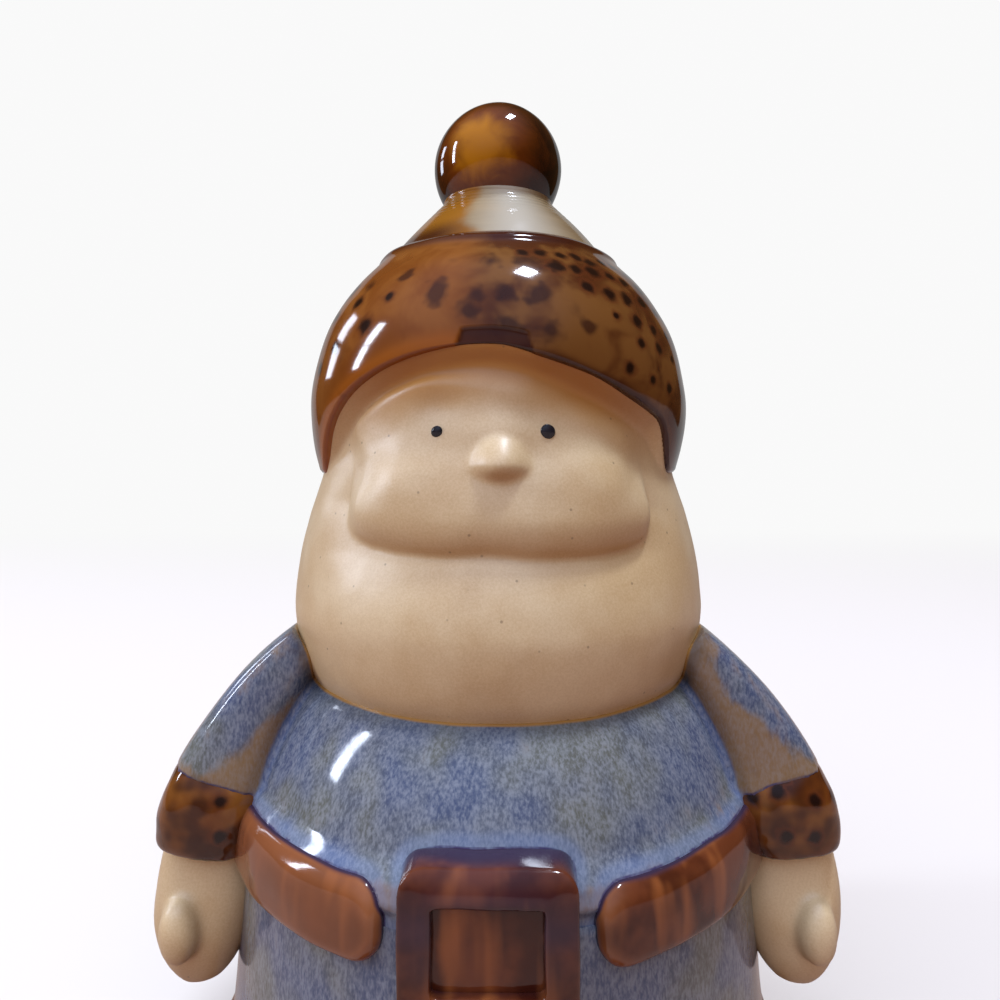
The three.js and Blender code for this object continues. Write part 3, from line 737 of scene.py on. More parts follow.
# Cuffs
# Thick rolls of clay round the ends of the sleeves, standing for fur, in the spotted glaze.
# They are rounded over at both edges and pressed against the side of the coat.
CUFF_START = 0.385
CUFF_END = 0.605
CUFF_SIZE = (7.5, 13)
CUFF_EDGE = 0.86
CUFF_SMEARS = 0.55
CUFF_THIN = 0.25


def cuff_size(share):
    """Half width and half depth, drawn in at both edges of the roll."""
    fullness = between(CUFF_EDGE, 1, math.sin(math.pi * share) ** 0.6)
    return [half * fullness for half in CUFF_SIZE]


cuffs = []
for side, name in ((1, "left_cuff"), (-1, "right_cuff")):
    roll = bmesh.new()
    arm_stretch(roll, side, CUFF_START, CUFF_END, rings=14, size_at=cuff_size)
    roll = luted(roll, voxel=0.45, rounds=10)
    hand_worked(roll, depth=0.4, spacing=7)
    hand_worked(roll, depth=0.15, spacing=3)
    cuff_spots = dabbed(roll, scattered(roll, spacing=5, size=1.5, share=0.45))
    points = len(cuff_spots)
    cuff = as_piece(
        roll, f"{name}_roll", spots=cuff_spots, smears=[CUFF_SMEARS] * points, thin=[CUFF_THIN] * points)
    set_on_figure(cuff, fur_glaze, "brown_glaze", name)
    cuffs.append(cuff)

# Hands
# Mittens of bare clay below the cuffs, each with a thumb laid along its front edge.
# They are left unglazed, so the fired stoneware shows, with fine sand and a few iron specks.
HAND_START = 0.58
HAND_SIZE = (7.2, 8.2)
HAND_SQUARENESS = 2.4
HAND_WRIST = 0.86
THUMB_SIZE = Vector((3.3, 3.3, 5.6))
THUMB_AT = 0.8


def bare_clay():
    """Unglazed buff stoneware, sponged smooth and fired: a warm sandy skin with a faint sheen.

    The clay is toasted where it lies close to a glaze, and a few specks of iron have burnt through.
    Just under the hat brim the same mark is painted shade, darker and warmer on the forehead.
    """
    clay, place, toast = new_material("buff_stoneware_bisque", "toast")
    cloud = add_node(clay, "ShaderNodeTexNoise", {"Vector": place, "Scale": grain(15), "Detail": 4})
    sand = add_node(
        clay, "ShaderNodeTexNoise", {"Vector": place, "Scale": grain(0.36), "Detail": 3, "Roughness": 0.7})
    lumps = add_node(clay, "ShaderNodeTexNoise", {"Vector": place, "Scale": grain(4), "Detail": 3})
    specks = add_node(clay, "ShaderNodeTexVoronoi", {"Vector": place, "Scale": grain(2.6)}, "Distance")
    chance = add_node(clay, "ShaderNodeSeparateColor", {"Color": specks.node.outputs["Color"]}, "Red")

    body = layered(clay, "#cbb082", "#d8c39a", cloud, 0.35, 0.65)
    sandy = layered(clay, "#b08c56", "#e4cfa8", sand, 0.3, 0.7)
    sanded = layered(clay, body, sandy, 0.2)
    # Toasted clay, and painted shade: just under the hat brim this darkens and warms the forehead.
    toasted = layered(clay, sanded, "#b88238", toast)
    rare = add_node(clay, "ShaderNodeMath", {"Value": chance, "Value_001": 0.35}, operation="LESS_THAN")
    faint = add_node(clay, "ShaderNodeMath", {"Value": rare, "Value_001": 0.5}, operation="MULTIPLY")
    specked = layered(clay, toasted, "#5f4630", specks, 0.12, 0.05, faint)
    gritty = add_node(clay, "ShaderNodeBump", {"Height": sand, "Strength": 0.35, "Distance": 0.06 * MM})
    worked = add_node(
        clay, "ShaderNodeBump", {"Height": lumps, "Strength": 0.3, "Distance": 0.25 * MM, "Normal": gritty})
    return finished(clay, {"Base Color": specked, "Roughness": 0.38, "IOR": 1.7, "Normal": worked})


def hand_size(share):
    """Half width and half depth, fullest at the knuckles and closed round the finger tips."""
    taper = max(1 - share ** 4, 0.01) ** 0.5 * (HAND_WRIST + (1 - HAND_WRIST) * math.sin(math.pi * share))
    return [half * taper for half in HAND_SIZE]


clay = bare_clay()
hands = []
for side, name in ((1, "left_hand"), (-1, "right_hand")):
    mitten = bmesh.new()
    arm_stretch(mitten, side, HAND_START, 1, rings=20, size_at=hand_size, squareness=HAND_SQUARENESS)
    knuckle = arm_point(THUMB_AT)
    thumb_place = Matrix.Translation((side * knuckle.x, knuckle.y - HAND_SIZE[1], knuckle.z))
    bmesh.ops.create_uvsphere(
        mitten, u_segments=32, v_segments=20, radius=1,
        matrix=thumb_place @ Matrix.Diagonal((*THUMB_SIZE, 1)))
    mitten = luted(mitten, voxel=0.5, rounds=12)
    hand_worked(mitten, depth=0.3, spacing=8)
    hand = as_piece(mitten, f"{name}_mitten")
    set_on_figure(hand, clay, "bare_clay", name)
    hands.append(hand)

# Head, beard and hair
# One big bare clay form: beard and hair are rolled out round the head, and the face is pushed and pinched
# from it, with a pinched nose, brows under the hat and a moustache whose lower edge hangs over the beard.
# Turns are in radians from the front, and distances across the face are measured at one radius.
HEAD_STEPS = 480
HEAD_INNER_RADIUS = 30
FACE_RADIUS = 34
FACE_HALF_TURN = 1.5
FACE_ARCH = 20.2
ARCH_SOFTENING = 3
RIGHT_ARCH = 63
RIGHT_ARCH_POWERS = (2.4, 0.8)
LEFT_ARCH = 80
LEFT_ARCH_POWER = 1.3
LEFT_ARCH_END = (61, 51)
LIP_OVERHANG = 0.7
LIP_TUCK = 0.8
LIP_TUCK_RISE = 2
FLARE_RISE = 0.5
CREASE_DROP = 1
BROW_DROP = 2.4
BROW_TURNS = (1.3, 0.85)
BROW_HALF_TURN = 0.86
BROW_RISE = 1.3
BROW_HEIGHTS = (121, 131)
BROW_CREASE_MARGIN = -0.2
BROW_SIDE_MARGIN = -0.3
BROW_EDGES = (1.5, 4.5)
BROW_EDGE_TURNS = (-0.45, 0.1)
TEMPLE_FOOT_EDGE = 13
TEMPLE_EDGES = (3, 8)
TEMPLE_HEIGHTS = (124, 137)
MOUSTACHE_RADIUS = 38
MOUSTACHE_HALF_TURN = 0.765
MOUSTACHE_END_MARGIN = 0.03
MOUSTACHE_END_HEIGHT = 122.4
MOUSTACHE_TILT = 0.5
MOUSTACHE_SAG = 7.5
MOUSTACHE_SAG_POWER = 4
MOUSTACHE_PARTING = (0.6, -0.04, 0.12)
MOUSTACHE_REACH = 1.9
MOUSTACHE_ROLL = 11
MOUSTACHE_ROLL_POWER = 3.2
MOUSTACHE_END_ROLLS = (6, 3.2)
MOUSTACHE_FULL_HEIGHT = 120.5
MOUSTACHE_TOPS = (138, 128.5)
MOUSTACHE_TOP_FALL = (0.5, 1)
LINE_DEPTH = 0.5
LINE_BELOW = -0.2
LINE_WIDTH = 0.7
LINE_FADE = 0.15
CHIN_RECESS = 2.1
CHIN_TURNS = (1.05, 0.5)
CHIN_FOOT = 102
CHIN_RISE = 12.8
NOSE_HEIGHT = 129.5
NOSE_REACH = 2.8
NOSE_ACROSS = 0.3
NOSE_HALF_WIDTH = 4.8
NOSE_UP = 4.8
NOSE_DOWN = 2.9
NOSE_POWER = 1.5
TOAST_AND_SHADE_DEPTHS = (12, 2)
TOAST_AND_SHADE_TURNS = (1, 0.4)
# The bridge of the nose, the hollows under the brows and the cheeks: each a rise, its place across
# and its spread, its place above the eyes and its spread.
FACE_SWELLS = (
    (1, 0.4, 6, 0, 3),
    (-0.9, -9, 4, 4, 2.4),
    (-0.7, 9.5, 6, 4, 2.4),
    (0.7, -15, 7, -8, 5),
    (0.7, 15, 7, -8, 5),
)
eye_height = node_box("left_eye")[0].z / 2 + node_box("left_eye")[1].z / 2
head_base = node_box("beard")[0].z
brim_base = node_box("hat_brim")[0].z
brim_top = node_box("hat_brim")[1].z

head_side = smooth_line([
    (33.0, head_base - 1.0),
    (35.8, head_base - 0.5),
    (37.0, head_base + 0.8),
    (38.3, head_base + 3.6),
    (39.4, head_base + 7.6),
    (40.0, head_base + 11.8),
    (39.9, head_base + 15.4),
    (39.4, head_base + 19.9),
    (38.6, head_base + 24.4),
    (37.4, head_base + 29.4),
    (35.8, head_base + 34.4),
    (34.6, brim_base),
    (33.7, brim_base + 3.4),
    (33.3, brim_base + 7.4),
    (33.2, brim_base + 12),
    (33.2, brim_base + 16),
    (33.2, brim_base + 20),
    (33.0, brim_base + 23),
], steps=8)

brim_side = smooth_line([
    (35.4, brim_base + 0.2),
    (36.3, brim_top - 37.6),
    (36.9, brim_top - 33.1),
    (37.05, brim_top - 28.4),
    (36.5, brim_top - 24),
    (35.5, brim_top - 19.6),
    (34.2, brim_top - 15.9),
    (32.5, brim_top - 12.5),
    (30.6, brim_top - 9.4),
    (28.4, brim_top - 6.5),
    (25.9, brim_top - 3.8),
    (24.1, brim_top - 1.9),
    (22.9, brim_top - 0.6),
    (21.9, brim_top + 0.2),
], steps=8)


def lip_height(turn):
    """Height of the brim's lower edge, at a turn from the front: an arch over the face, cut by eye."""
    total = 0
    for shift in range(-ARCH_SOFTENING, ARCH_SOFTENING + 1):
        degrees = math.degrees(turn) + shift
        if degrees < 0:
            total += max(1 - (-degrees / RIGHT_ARCH) ** RIGHT_ARCH_POWERS[0], 0) ** RIGHT_ARCH_POWERS[1]
        else:
            total += max(1 - (degrees / LEFT_ARCH) ** LEFT_ARCH_POWER, 0) * ramp(degrees, *LEFT_ARCH_END)
    return brim_base + FACE_ARCH * total / (2 * ARCH_SOFTENING + 1)


def moustache_rise(turn, height):
    """How full the moustache is at a point: 0 below its lower edge and past its ends, 1 past its roll.

    Also how much of the roll is still to come, and how far the point lies above the edge in millimetres.
    """
    side = min(abs(turn) / MOUSTACHE_HALF_TURN, 1)
    parting, parting_turn, parting_spread = MOUSTACHE_PARTING
    sag = MOUSTACHE_SAG * (1 - side ** MOUSTACHE_SAG_POWER) ** (1 / MOUSTACHE_SAG_POWER)
    sag -= parting * bell(turn, parting_turn, parting_spread)
    above = height - (MOUSTACHE_END_HEIGHT - MOUSTACHE_TILT * turn / MOUSTACHE_HALF_TURN - sag)
    to_come = min(max(1 - above / MOUSTACHE_ROLL, 0), 1) ** MOUSTACHE_ROLL_POWER
    end_room = MOUSTACHE_RADIUS * (MOUSTACHE_HALF_TURN + MOUSTACHE_END_MARGIN - abs(turn))
    top = between(*MOUSTACHE_TOPS, ramp(side, *MOUSTACHE_TOP_FALL))
    rise = (1 - to_come) * ramp(end_room, 0, MOUSTACHE_END_ROLLS[turn > 0])
    return rise * ramp(height, top, MOUSTACHE_FULL_HEIGHT), to_come, above


def brow_rise(turn, height, crease):
    """How full the brow is at a point below the crease under the hat: 0 at its edges, 1 in its middle."""
    side_room = FACE_RADIUS * (BROW_HALF_TURN - abs(turn))
    brow_edge = between(*BROW_EDGES, ramp(turn, *BROW_EDGE_TURNS))
    temple_edge = between(TEMPLE_FOOT_EDGE, TEMPLE_EDGES[turn >= 0], ramp(height, *TEMPLE_HEIGHTS))
    pillow = ramp(crease - height, BROW_CREASE_MARGIN, brow_edge)
    pillow *= ramp(side_room, BROW_SIDE_MARGIN, temple_edge)
    return pillow * ramp(height, *BROW_HEIGHTS)


def nose_rise(across, height):
    """How full the nose is at a point: a bulb with a flatter underside."""
    tall = NOSE_UP if height > NOSE_HEIGHT else NOSE_DOWN
    sideways = ((across - NOSE_ACROSS) / NOSE_HALF_WIDTH) ** 2
    return max(1 - sideways - ((height - NOSE_HEIGHT) / tall) ** 2, 0) ** NOSE_POWER


def face_relief(turn, height):
    """How far the clay of the face stands out from the plain turned head, in millimetres."""
    lip = lip_height(turn)
    crease = lip - BROW_DROP * ramp(abs(turn), *BROW_TURNS) - CREASE_DROP
    flare = max(radius_at(brim_side, lip) - LIP_OVERHANG - radius_at(head_side, lip), 0)
    relief = flare * ramp(height, crease, lip + FLARE_RISE)
    if height > lip:
        tuck = LIP_OVERHANG + LIP_TUCK * ramp(height, lip, lip + LIP_TUCK_RISE)
        return min(relief, radius_at(brim_side, height) - tuck - radius_at(head_side, height))
    if abs(turn) > FACE_HALF_TURN:
        return relief
    across = FACE_RADIUS * turn
    rise, to_come, above = moustache_rise(turn, height)
    relief += BROW_RISE * brow_rise(turn, height, crease) + MOUSTACHE_REACH * rise
    inside_ends = ramp(abs(turn), MOUSTACHE_HALF_TURN, MOUSTACHE_HALF_TURN - LINE_FADE)
    relief -= LINE_DEPTH * bell(above, LINE_BELOW, LINE_WIDTH) * inside_ends
    hollow = min(max((height - CHIN_FOOT) / CHIN_RISE, 0), 1) ** 2 if above < 0 else to_come
    relief -= CHIN_RECESS * ramp(abs(turn), *CHIN_TURNS) * hollow
    relief += NOSE_REACH * nose_rise(across, height)
    for swell, place, width, level, spread in FACE_SWELLS:
        relief += swell * bell(across, place, width) * bell(height, eye_height + level, spread)
    return relief


head_form = turned([(0, head_base - 1), *head_side, (26, brim_base + 25), (0, brim_base + 26)], HEAD_STEPS)
for vert in head_form.verts:
    radius = vert.co.xy.length
    if radius > HEAD_INNER_RADIUS:
        vert.co.xy *= (radius + face_relief(turn_of(vert.co), vert.co.z)) / radius
sponged(head_form, rounds=2)
hand_worked(head_form, depth=0.2, spacing=14)
hand_worked(head_form, depth=0.07, spacing=4)
# Painted shade under the hat brim: the forehead is painted warmer and darker just below its lip, fading
# further down, with the toast near the brim glaze.
head_toast = []
for vert in head_form.verts:
    below_lip = lip_height(turn_of(vert.co)) - vert.co.z
    head_toast.append(ramp(below_lip, *TOAST_AND_SHADE_DEPTHS) * ramp(abs(turn_of(vert.co)), *TOAST_AND_SHADE_TURNS))
head = as_piece(head_form, "clay_head", toast=head_toast)
set_on_figure(head, clay, "bare_clay", "head", "beard", "hair", "moustache", "nose")

# Eyes
# Two dots of black glaze dropped on the face, the figure's left one larger.
# The glaze drew up into a low glossy dome as it melted.
EYE_DOME = 0.5
EYE_SIZES = {"left_eye": 1.08, "right_eye": 0.86}


def eye_glaze():
    """Black overglaze, melted into a drop: deep black glass with a sharp reflection."""
    glaze, place = new_material("black_glaze_drop")
    cloud = add_node(glaze, "ShaderNodeTexNoise", {"Vector": place, "Scale": grain(0.6), "Detail": 2})
    colour = layered(glaze, "#0b0c10", "#2c2e38", cloud)
    return finished(glaze, {"Base Color": colour, "Roughness": 0.16, "IOR": 1.5})


black_glaze = eye_glaze()
for name, share in EYE_SIZES.items():
    eye_low, eye_high = node_box(name)
    eye_middle = (eye_low + eye_high) / 2
    eye_radius = share * (eye_high.z - eye_low.z) / 2
    turn = turn_of(eye_middle)
    radius = radius_at(head_side, eye_middle.z) + face_relief(turn, eye_middle.z)
    place = Matrix.Translation(at_turn(turn, radius, eye_middle.z))
    drop = bmesh.new()
    bmesh.ops.create_uvsphere(
        drop, u_segments=32, v_segments=24, radius=eye_radius,
        matrix=place @ Matrix.Rotation(turn, 4, "Z") @ Matrix.Diagonal((1, EYE_DOME, 1, 1)))
    hand_worked(drop, depth=0.08, spacing=1.2)
    eye = as_piece(drop, f"{name}_dot")
    set_on_figure(eye, black_glaze, "black_stain", name)

# Hat brim
# A wide band of clay rolled round the head, bulging over the face and turned under at the lip.
# It is glazed down to the lip with the spotted glaze, and a notch in the middle of the lip is dark red.
BRIM_STEPS = 560
NOTCH_HALF_WIDTH = 5.2
NOTCH_SPLAY = 0.9
NOTCH_RISE = 2.5
NOTCH_SIDE_SOFTNESS = 0.3
NOTCH_TOP_SOFTNESS = 0.2
NOTCH_DEPTH = 0.3
NOTCH_RADIUS = 36.4
NOTCH_ACROSS = -0.5
BRIM_BULGE = 1
BRIM_BULGE_TURNS = (1.35, 0.9)
BRIM_RIDGE = 0.6
BRIM_RIDGE_DROP = 1
BRIM_RIDGE_SPREAD = 0.9
BRIM_SKIN = 2
LEFT_LIP_TURNS = (0.05, 0.3)
LEFT_LIP_END = (3, 2.3)
RIGHT_SIDE_TURNS = (0, -0.25)
RIGHT_SIDE_END = (-2.9, -2)
TOP_LINE_POOL = 0.85
TOP_LINE_DROP = 0.8
TOP_LINE_SPREAD = 1.3
LEFT_LIP_POOL = 0.8
LEFT_LIP_SPREAD = 0.8
NOTCH_POOL = 0.9
RIGHT_LIP_THIN = 0.8
RIGHT_LIP_SPREAD = 2.2
RIGHT_SIDE_THIN = 0.45
ROW_STRAY_TURN = 0.04
ROW_STRAY_HEIGHT = 1.2
# Dabs and smears in rows: the ends of each row as a turn in degrees and a height, a count and a size.
DAB_ROWS = (
    ((9, 164.6), (110, 163), 17, 1.45),
    ((18, 161.8), (120, 158.5), 16, 1.6),
    ((27, 157.8), (130, 153.5), 16, 1.5),
    ((33, 153), (140, 147), 15, 1.25),
    ((40, 148.8), (150, 141), 15, 1.15),
    ((36, 144.3), (160, 135), 16, 1.15),
    ((-32, 157.3), (-70, 155), 4, 1.4),
    ((-38, 152.4), (-80, 140), 5, 1.5),
)
SMEAR_ROWS = (
    ((-16, 157.2), (10, 156.2), 4, 2.1),
    ((-3, 162.4), (10, 162.4), 2, 1.9),
    ((-8, 153), (2, 152), 2, 1.8),
    ((14, 150), (24, 151), 2, 1.5),
    ((-30, 161), (-44, 159.5), 2, 1.7),
    ((-56, 160), (-82, 151), 3, 2.3),
    ((-68, 147), (-86, 137), 3, 2.3),
    ((-110, 156), (-150, 152), 4, 2.4),
)


def brim_notch(turn, above_lip):
    """How much a point lies in the notch at the middle of the lip, from 0 to 1."""
    half_width = NOTCH_HALF_WIDTH + NOTCH_SPLAY * (1 - above_lip / NOTCH_RISE)
    across = abs(NOTCH_RADIUS * turn - NOTCH_ACROSS)
    within = ramp(across, half_width + NOTCH_SIDE_SOFTNESS, half_width - NOTCH_SIDE_SOFTNESS)
    return within * ramp(above_lip, NOTCH_RISE + NOTCH_TOP_SOFTNESS, NOTCH_RISE - NOTCH_TOP_SOFTNESS)


def brim_bulge(turn, height):
    """How far the roll of the brim swells out over the face, in millimetres."""
    lip = lip_height(turn)
    share = min(max((height - lip) / (brim_top - lip), 0), 1)
    swell = BRIM_BULGE * 4 * share * (1 - share) * ramp(abs(turn), *BRIM_BULGE_TURNS)
    return swell + BRIM_RIDGE * bell(height, brim_top - BRIM_RIDGE_DROP, BRIM_RIDGE_SPREAD)


def dab_rows(rows):
    """The places and sizes of the dabs in some rows on the brim, each a little astray."""
    dabs = []
    for (first_turn, first_height), (last_turn, last_height), count, size in rows:
        for step in range(count):
            share = step / max(count - 1, 1)
            stray = noise.noise_vector(Vector((first_height, step * 1.7, first_turn / 10)))
            turn = math.radians(between(first_turn, last_turn, share)) + ROW_STRAY_TURN * stray.x
            height = between(first_height, last_height, share) + ROW_STRAY_HEIGHT * stray.y
            radius = radius_at(brim_side, height) + brim_bulge(turn, height)
            dabs.append((at_turn(turn, radius, height), size * (1 + DAB_VARIETY * stray.z)))
    return dabs


brim_form = turned([
    *brim_side,
    (19.0, brim_top - 3),
    (27.0, brim_base + 28),
    (31.0, brim_base + 16),
    (32.2, brim_base + 4),
    (32.8, brim_base + 0.6),
    (33.4, brim_base - 0.4),
    (34.3, brim_base - 0.6),
    (35.0, brim_base - 0.3),
    (35.4, brim_base + 0.2),
], BRIM_STEPS)
brim_pool = []
brim_thin = []
for vert in brim_form.verts:
    turn = turn_of(vert.co)
    radius = vert.co.xy.length
    inset = radius_at(brim_side, vert.co.z) - radius
    share = (brim_top - vert.co.z) / (brim_top - brim_base)
    lip = lip_height(turn)
    vert.co.z = between(brim_top, lip, share)
    above_lip = vert.co.z - lip
    notch = brim_notch(turn, above_lip)
    swollen = radius_at(brim_side, vert.co.z) + brim_bulge(turn, vert.co.z) * ramp(inset, BRIM_SKIN, 0)
    vert.co.xy *= (swollen - inset - NOTCH_DEPTH * notch) / radius
    top_line = bell(vert.co.z, brim_top - TOP_LINE_DROP, TOP_LINE_SPREAD)
    left_lip = bell(above_lip, 0, LEFT_LIP_SPREAD) * ramp(turn, *LEFT_LIP_TURNS) * ramp(turn, *LEFT_LIP_END)
    right_side = ramp(turn, *RIGHT_SIDE_TURNS) * ramp(turn, *RIGHT_SIDE_END)
    brim_pool.append(min(TOP_LINE_POOL * top_line + LEFT_LIP_POOL * left_lip + NOTCH_POOL * notch, 1))
    brim_thin.append(right_side * (RIGHT_LIP_THIN * bell(above_lip, 0, RIGHT_LIP_SPREAD) + RIGHT_SIDE_THIN))
bmesh.ops.recalc_face_normals(brim_form, faces=brim_form.faces)
hand_worked(brim_form, depth=0.35, spacing=12)
brim_spots = dabbed(brim_form, dab_rows(DAB_ROWS))
brim_smears = dabbed(brim_form, dab_rows(SMEAR_ROWS))
brim = as_piece(
    brim_form, "spotted_brim", pool=brim_pool, thin=brim_thin, spots=brim_spots, smears=brim_smears)
set_on_figure(brim, fur_glaze, "brown_glaze", "hat_brim")

# Hat crown
# A short cone drawn up on the wheel to a neck, which still shows the rings of the throwing.
# Its cream glaze is thick and milky in front, and breaks to amber at the side.
CROWN_STEPS = 240
RING_SPACING = 0.95
RING_DEPTH = 0.07
RING_LEAN = 0.02
NECK_HEIGHTS = (7, 2.5)
AMBER_TURNS = (0.05, -0.55)
AMBER_END = (-2.6, -1.8)
BROWN_TURNS = (-0.1, -0.6)
BROWN_END = (-2.9, -2)
BROWN_HEIGHTS = (5, 0.5)
SHADED_SIDE_TURNS = (0.5, 1)
SHADED_SIDE_END = (2.9, 2)
AMBER_SHARE = 0.75
SHADED_SIDE_SHARE = 0.35
FOOT_THIN_SHARE = 0.3
FOOT_THIN_RISE = 2
MILKY_TURN = 0.2
MILKY_SPREAD = 0.35
crown_low, crown_high = node_box("hat_crown")


def cream_glaze():
    """Milky cream glaze on stoneware: glossy beige glass, white where thick and amber where thin."""
    glaze, place, thin, pool, toast = new_material("cream_stoneware_glaze", "thin", "pool", "toast")
    cloud = add_node(glaze, "ShaderNodeTexNoise", {"Vector": place, "Scale": grain(8), "Detail": 4})
    rings = add_node(glaze, "ShaderNodeMapping", {"Vector": place, "Scale": (0.12, 0.12, 1)})
    lines = add_node(glaze, "ShaderNodeTexNoise", {"Vector": rings, "Scale": grain(1.3), "Detail": 3})

    body = layered(glaze, "#7e6a48", "#a08c66", lines)
    clouded = layered(glaze, body, "#b4ae9c", pool)
    breaking = add_node(
        glaze, "ShaderNodeMath", {"Value": cloud, "Value_001": 0.8, "Value_002": thin},
        operation="MULTIPLY_ADD")
    ambered = layered(glaze, clouded, "#8e5c18", breaking, 0.75, 1.15)
    # Browned at the foot on the amber side, and painted shade on the side away from the windows.
    browned_and_shaded = layered(glaze, ambered, "#401d08", toast)
    return finished(glaze, {"Base Color": browned_and_shaded, "Roughness": 0.13, "IOR": 1.5})


crown_side = smooth_line([
    (23.6, crown_low.z - 2.6),
    (21.4, crown_low.z),
    (18.9, crown_low.z + 3),
    (16.2, crown_low.z + 6),
    (13.5, crown_low.z + 8.8),
    (11.5, crown_low.z + 11),
    (11.1, crown_low.z + 12.2),
    (11.5, crown_low.z + 13.4),
    (11.4, crown_low.z + 15),
], steps=12)
cone = turned([(0, crown_low.z - 2), *crown_side, (0, crown_low.z + 15)], CROWN_STEPS)
for vert in cone.verts:
    radius = vert.co.xy.length
    if radius > 1:
        neck = ramp(crown_high.z - vert.co.z, *NECK_HEIGHTS)
        wave = math.sin(2 * math.pi * (vert.co.z + RING_LEAN * vert.co.x) / RING_SPACING)
        vert.co.xy *= (radius + RING_DEPTH * neck * wave) / radius
hand_worked(cone, depth=0.2, spacing=9)
crown_marks = {"thin": [], "pool": [], "toast": []}
for vert in cone.verts:
    turn = turn_of(vert.co)
    rise = vert.co.z - crown_low.z
    amber_side = ramp(turn, *AMBER_TURNS) * ramp(turn, *AMBER_END)
    brown_foot = ramp(turn, *BROWN_TURNS) * ramp(turn, *BROWN_END) * ramp(rise, *BROWN_HEIGHTS)
    # Painted shade: the side away from the windows is painted darker brown.
    shaded_side = ramp(turn, *SHADED_SIDE_TURNS) * ramp(turn, *SHADED_SIDE_END)
    crown_marks["thin"].append(AMBER_SHARE * amber_side + FOOT_THIN_SHARE * bell(rise, 0, FOOT_THIN_RISE))
    crown_marks["pool"].append(bell(turn, MILKY_TURN, MILKY_SPREAD))
    crown_marks["toast"].append(brown_foot + SHADED_SIDE_SHARE * shaded_side)
crown = as_piece(cone, "hat_cone", **crown_marks)
set_on_figure(crown, cream_glaze(), "cream_glaze", "hat_crown")

# Pompom
# A ball of clay set on the neck of the hat, dipped in a clear amber glaze.
# The glaze is golden where it is thin in front, and nearly black where it ran thick down the sides.
# The golden front, towards the windows, and the dark edges are also partly painted light and shade.
BALL_STEPS = 160
GOLDEN_ACROSS = -3.5
GOLDEN_RISE = 0.5
GOLDEN_REACH = 9
pompom_low, pompom_high = node_box("pompom")
pompom_middle = (pompom_low + pompom_high) / 2
pompom_radius = (pompom_high.z - pompom_low.z) / 2


def amber_glaze():
    """Amber iron glaze on stoneware: clear golden glass that darkens to a treacle brown where thick."""
    glaze, place, thin = new_material("amber_stoneware_glaze", "thin")
    cloud = add_node(
        glaze, "ShaderNodeTexNoise", {"Vector": place, "Scale": grain(6), "Detail": 4, "Distortion": 0.8})
    # On the ball the thin mark is partly painted light: golden towards the windows, darker towards the edges.
    depth = add_node(
        glaze, "ShaderNodeMath", {"Value": cloud, "Value_001": 0.7, "Value_002": thin},
        operation="MULTIPLY_ADD")
    brown = layered(glaze, "#1c0a05", "#6a340a", depth, 0.3, 0.95)
    colour = layered(glaze, brown, "#b27412", depth, 0.8, 1.3)
    return finished(glaze, {"Base Color": colour, "Roughness": 0.06, "IOR": 1.5})


ball_line = []
for step in range(BALL_STEPS // 2 + 1):
    slope = math.pi * (2 * step / BALL_STEPS - 0.5)
    ball_line.append((
        pompom_radius * math.cos(slope) if 0 < step < BALL_STEPS // 2 else 0,
        pompom_middle.z + pompom_radius * math.sin(slope)))
ball = turned(ball_line, BALL_STEPS)
hand_worked(ball, depth=0.25, spacing=9)
# Partly painted light and shade: the golden patch sits towards the windows and fades darker to the edges.
golden_lit_spot = Vector((GOLDEN_ACROSS, -pompom_radius, pompom_middle.z + GOLDEN_RISE))
pompom_thin_and_lit = [bell((vert.co - golden_lit_spot).length, 0, GOLDEN_REACH) for vert in ball.verts]
pompom = as_piece(ball, "pompom_ball", thin=pompom_thin_and_lit)
set_on_figure(pompom, amber_glaze(), "amber_glaze", "pompom")

# Edges of the glazes
# Each glaze was brushed up to its neighbours: it thins to a toasted line against bare clay, and two glazes
# run into each other where they meet. Every point keeps how close it lies to its neighbour.
BLEED = 1.3
BLUE_BLEED = 1.2
MILK_REACH = 4
COLLAR_REACH = 5
BUCKLE_REACH = 9
WRIST_REACH = 2.5


def paint_nearness(piece, mark, others):
    """1 where a piece touches one of the others, falling to 0 at the reach given for each, in millimetres."""
    graph = bpy.context.evaluated_depsgraph_get()
    trees = [(BVHTree.FromObject(other, graph), reach) for other, reach in others]
    values = []
    for vert in piece.data.vertices:
        nearness = 0
        for tree, reach in trees:
            gap = tree.find_nearest(vert.co, reach * MM)[3]
            if gap is not None:
                nearness = max(nearness, 1 - ramp(gap / MM, 0, reach))
        values.append(nearness)
    paint(piece, mark, values)


# On the coat, this nearness also sets the painted shade just under the beard.
paint_nearness(coat, "bare_edge", [(head, COLLAR_REACH)])
paint_nearness(coat, "brown_edge", [(other, BLEED) for other in (belt, buckle, *cuffs)])
paint_nearness(skirt, "brown_edge", [(other, BLEED) for other in (belt, buckle)])
paint_nearness(coat, "belt_edge", [(other, MILK_REACH) for other in (belt, buckle)])
paint_nearness(belt, "blue_edge", [(coat, BLUE_BLEED), (skirt, BLUE_BLEED)])
paint_nearness(buckle, "blue_edge", [(coat, BUCKLE_REACH), (skirt, BLUE_BLEED)])
for hand, cuff in zip(hands, cuffs):
    paint_nearness(hand, "toast", [(cuff, WRIST_REACH)])

# Floor
# A plain white board under the figure that curves up behind it, in metres.
# It isn't part of the object.
FLOOR_REACH = 4
WALL_DISTANCE = 2
WALL_HEIGHT = 1.8
WALL_NARROWING = 0.44
COVE_RADIUS = 0.8
COVE_STEPS = 16
BACKDROP_BRIGHTNESS = 0.95
REFLECTED_SHARE = 0.4


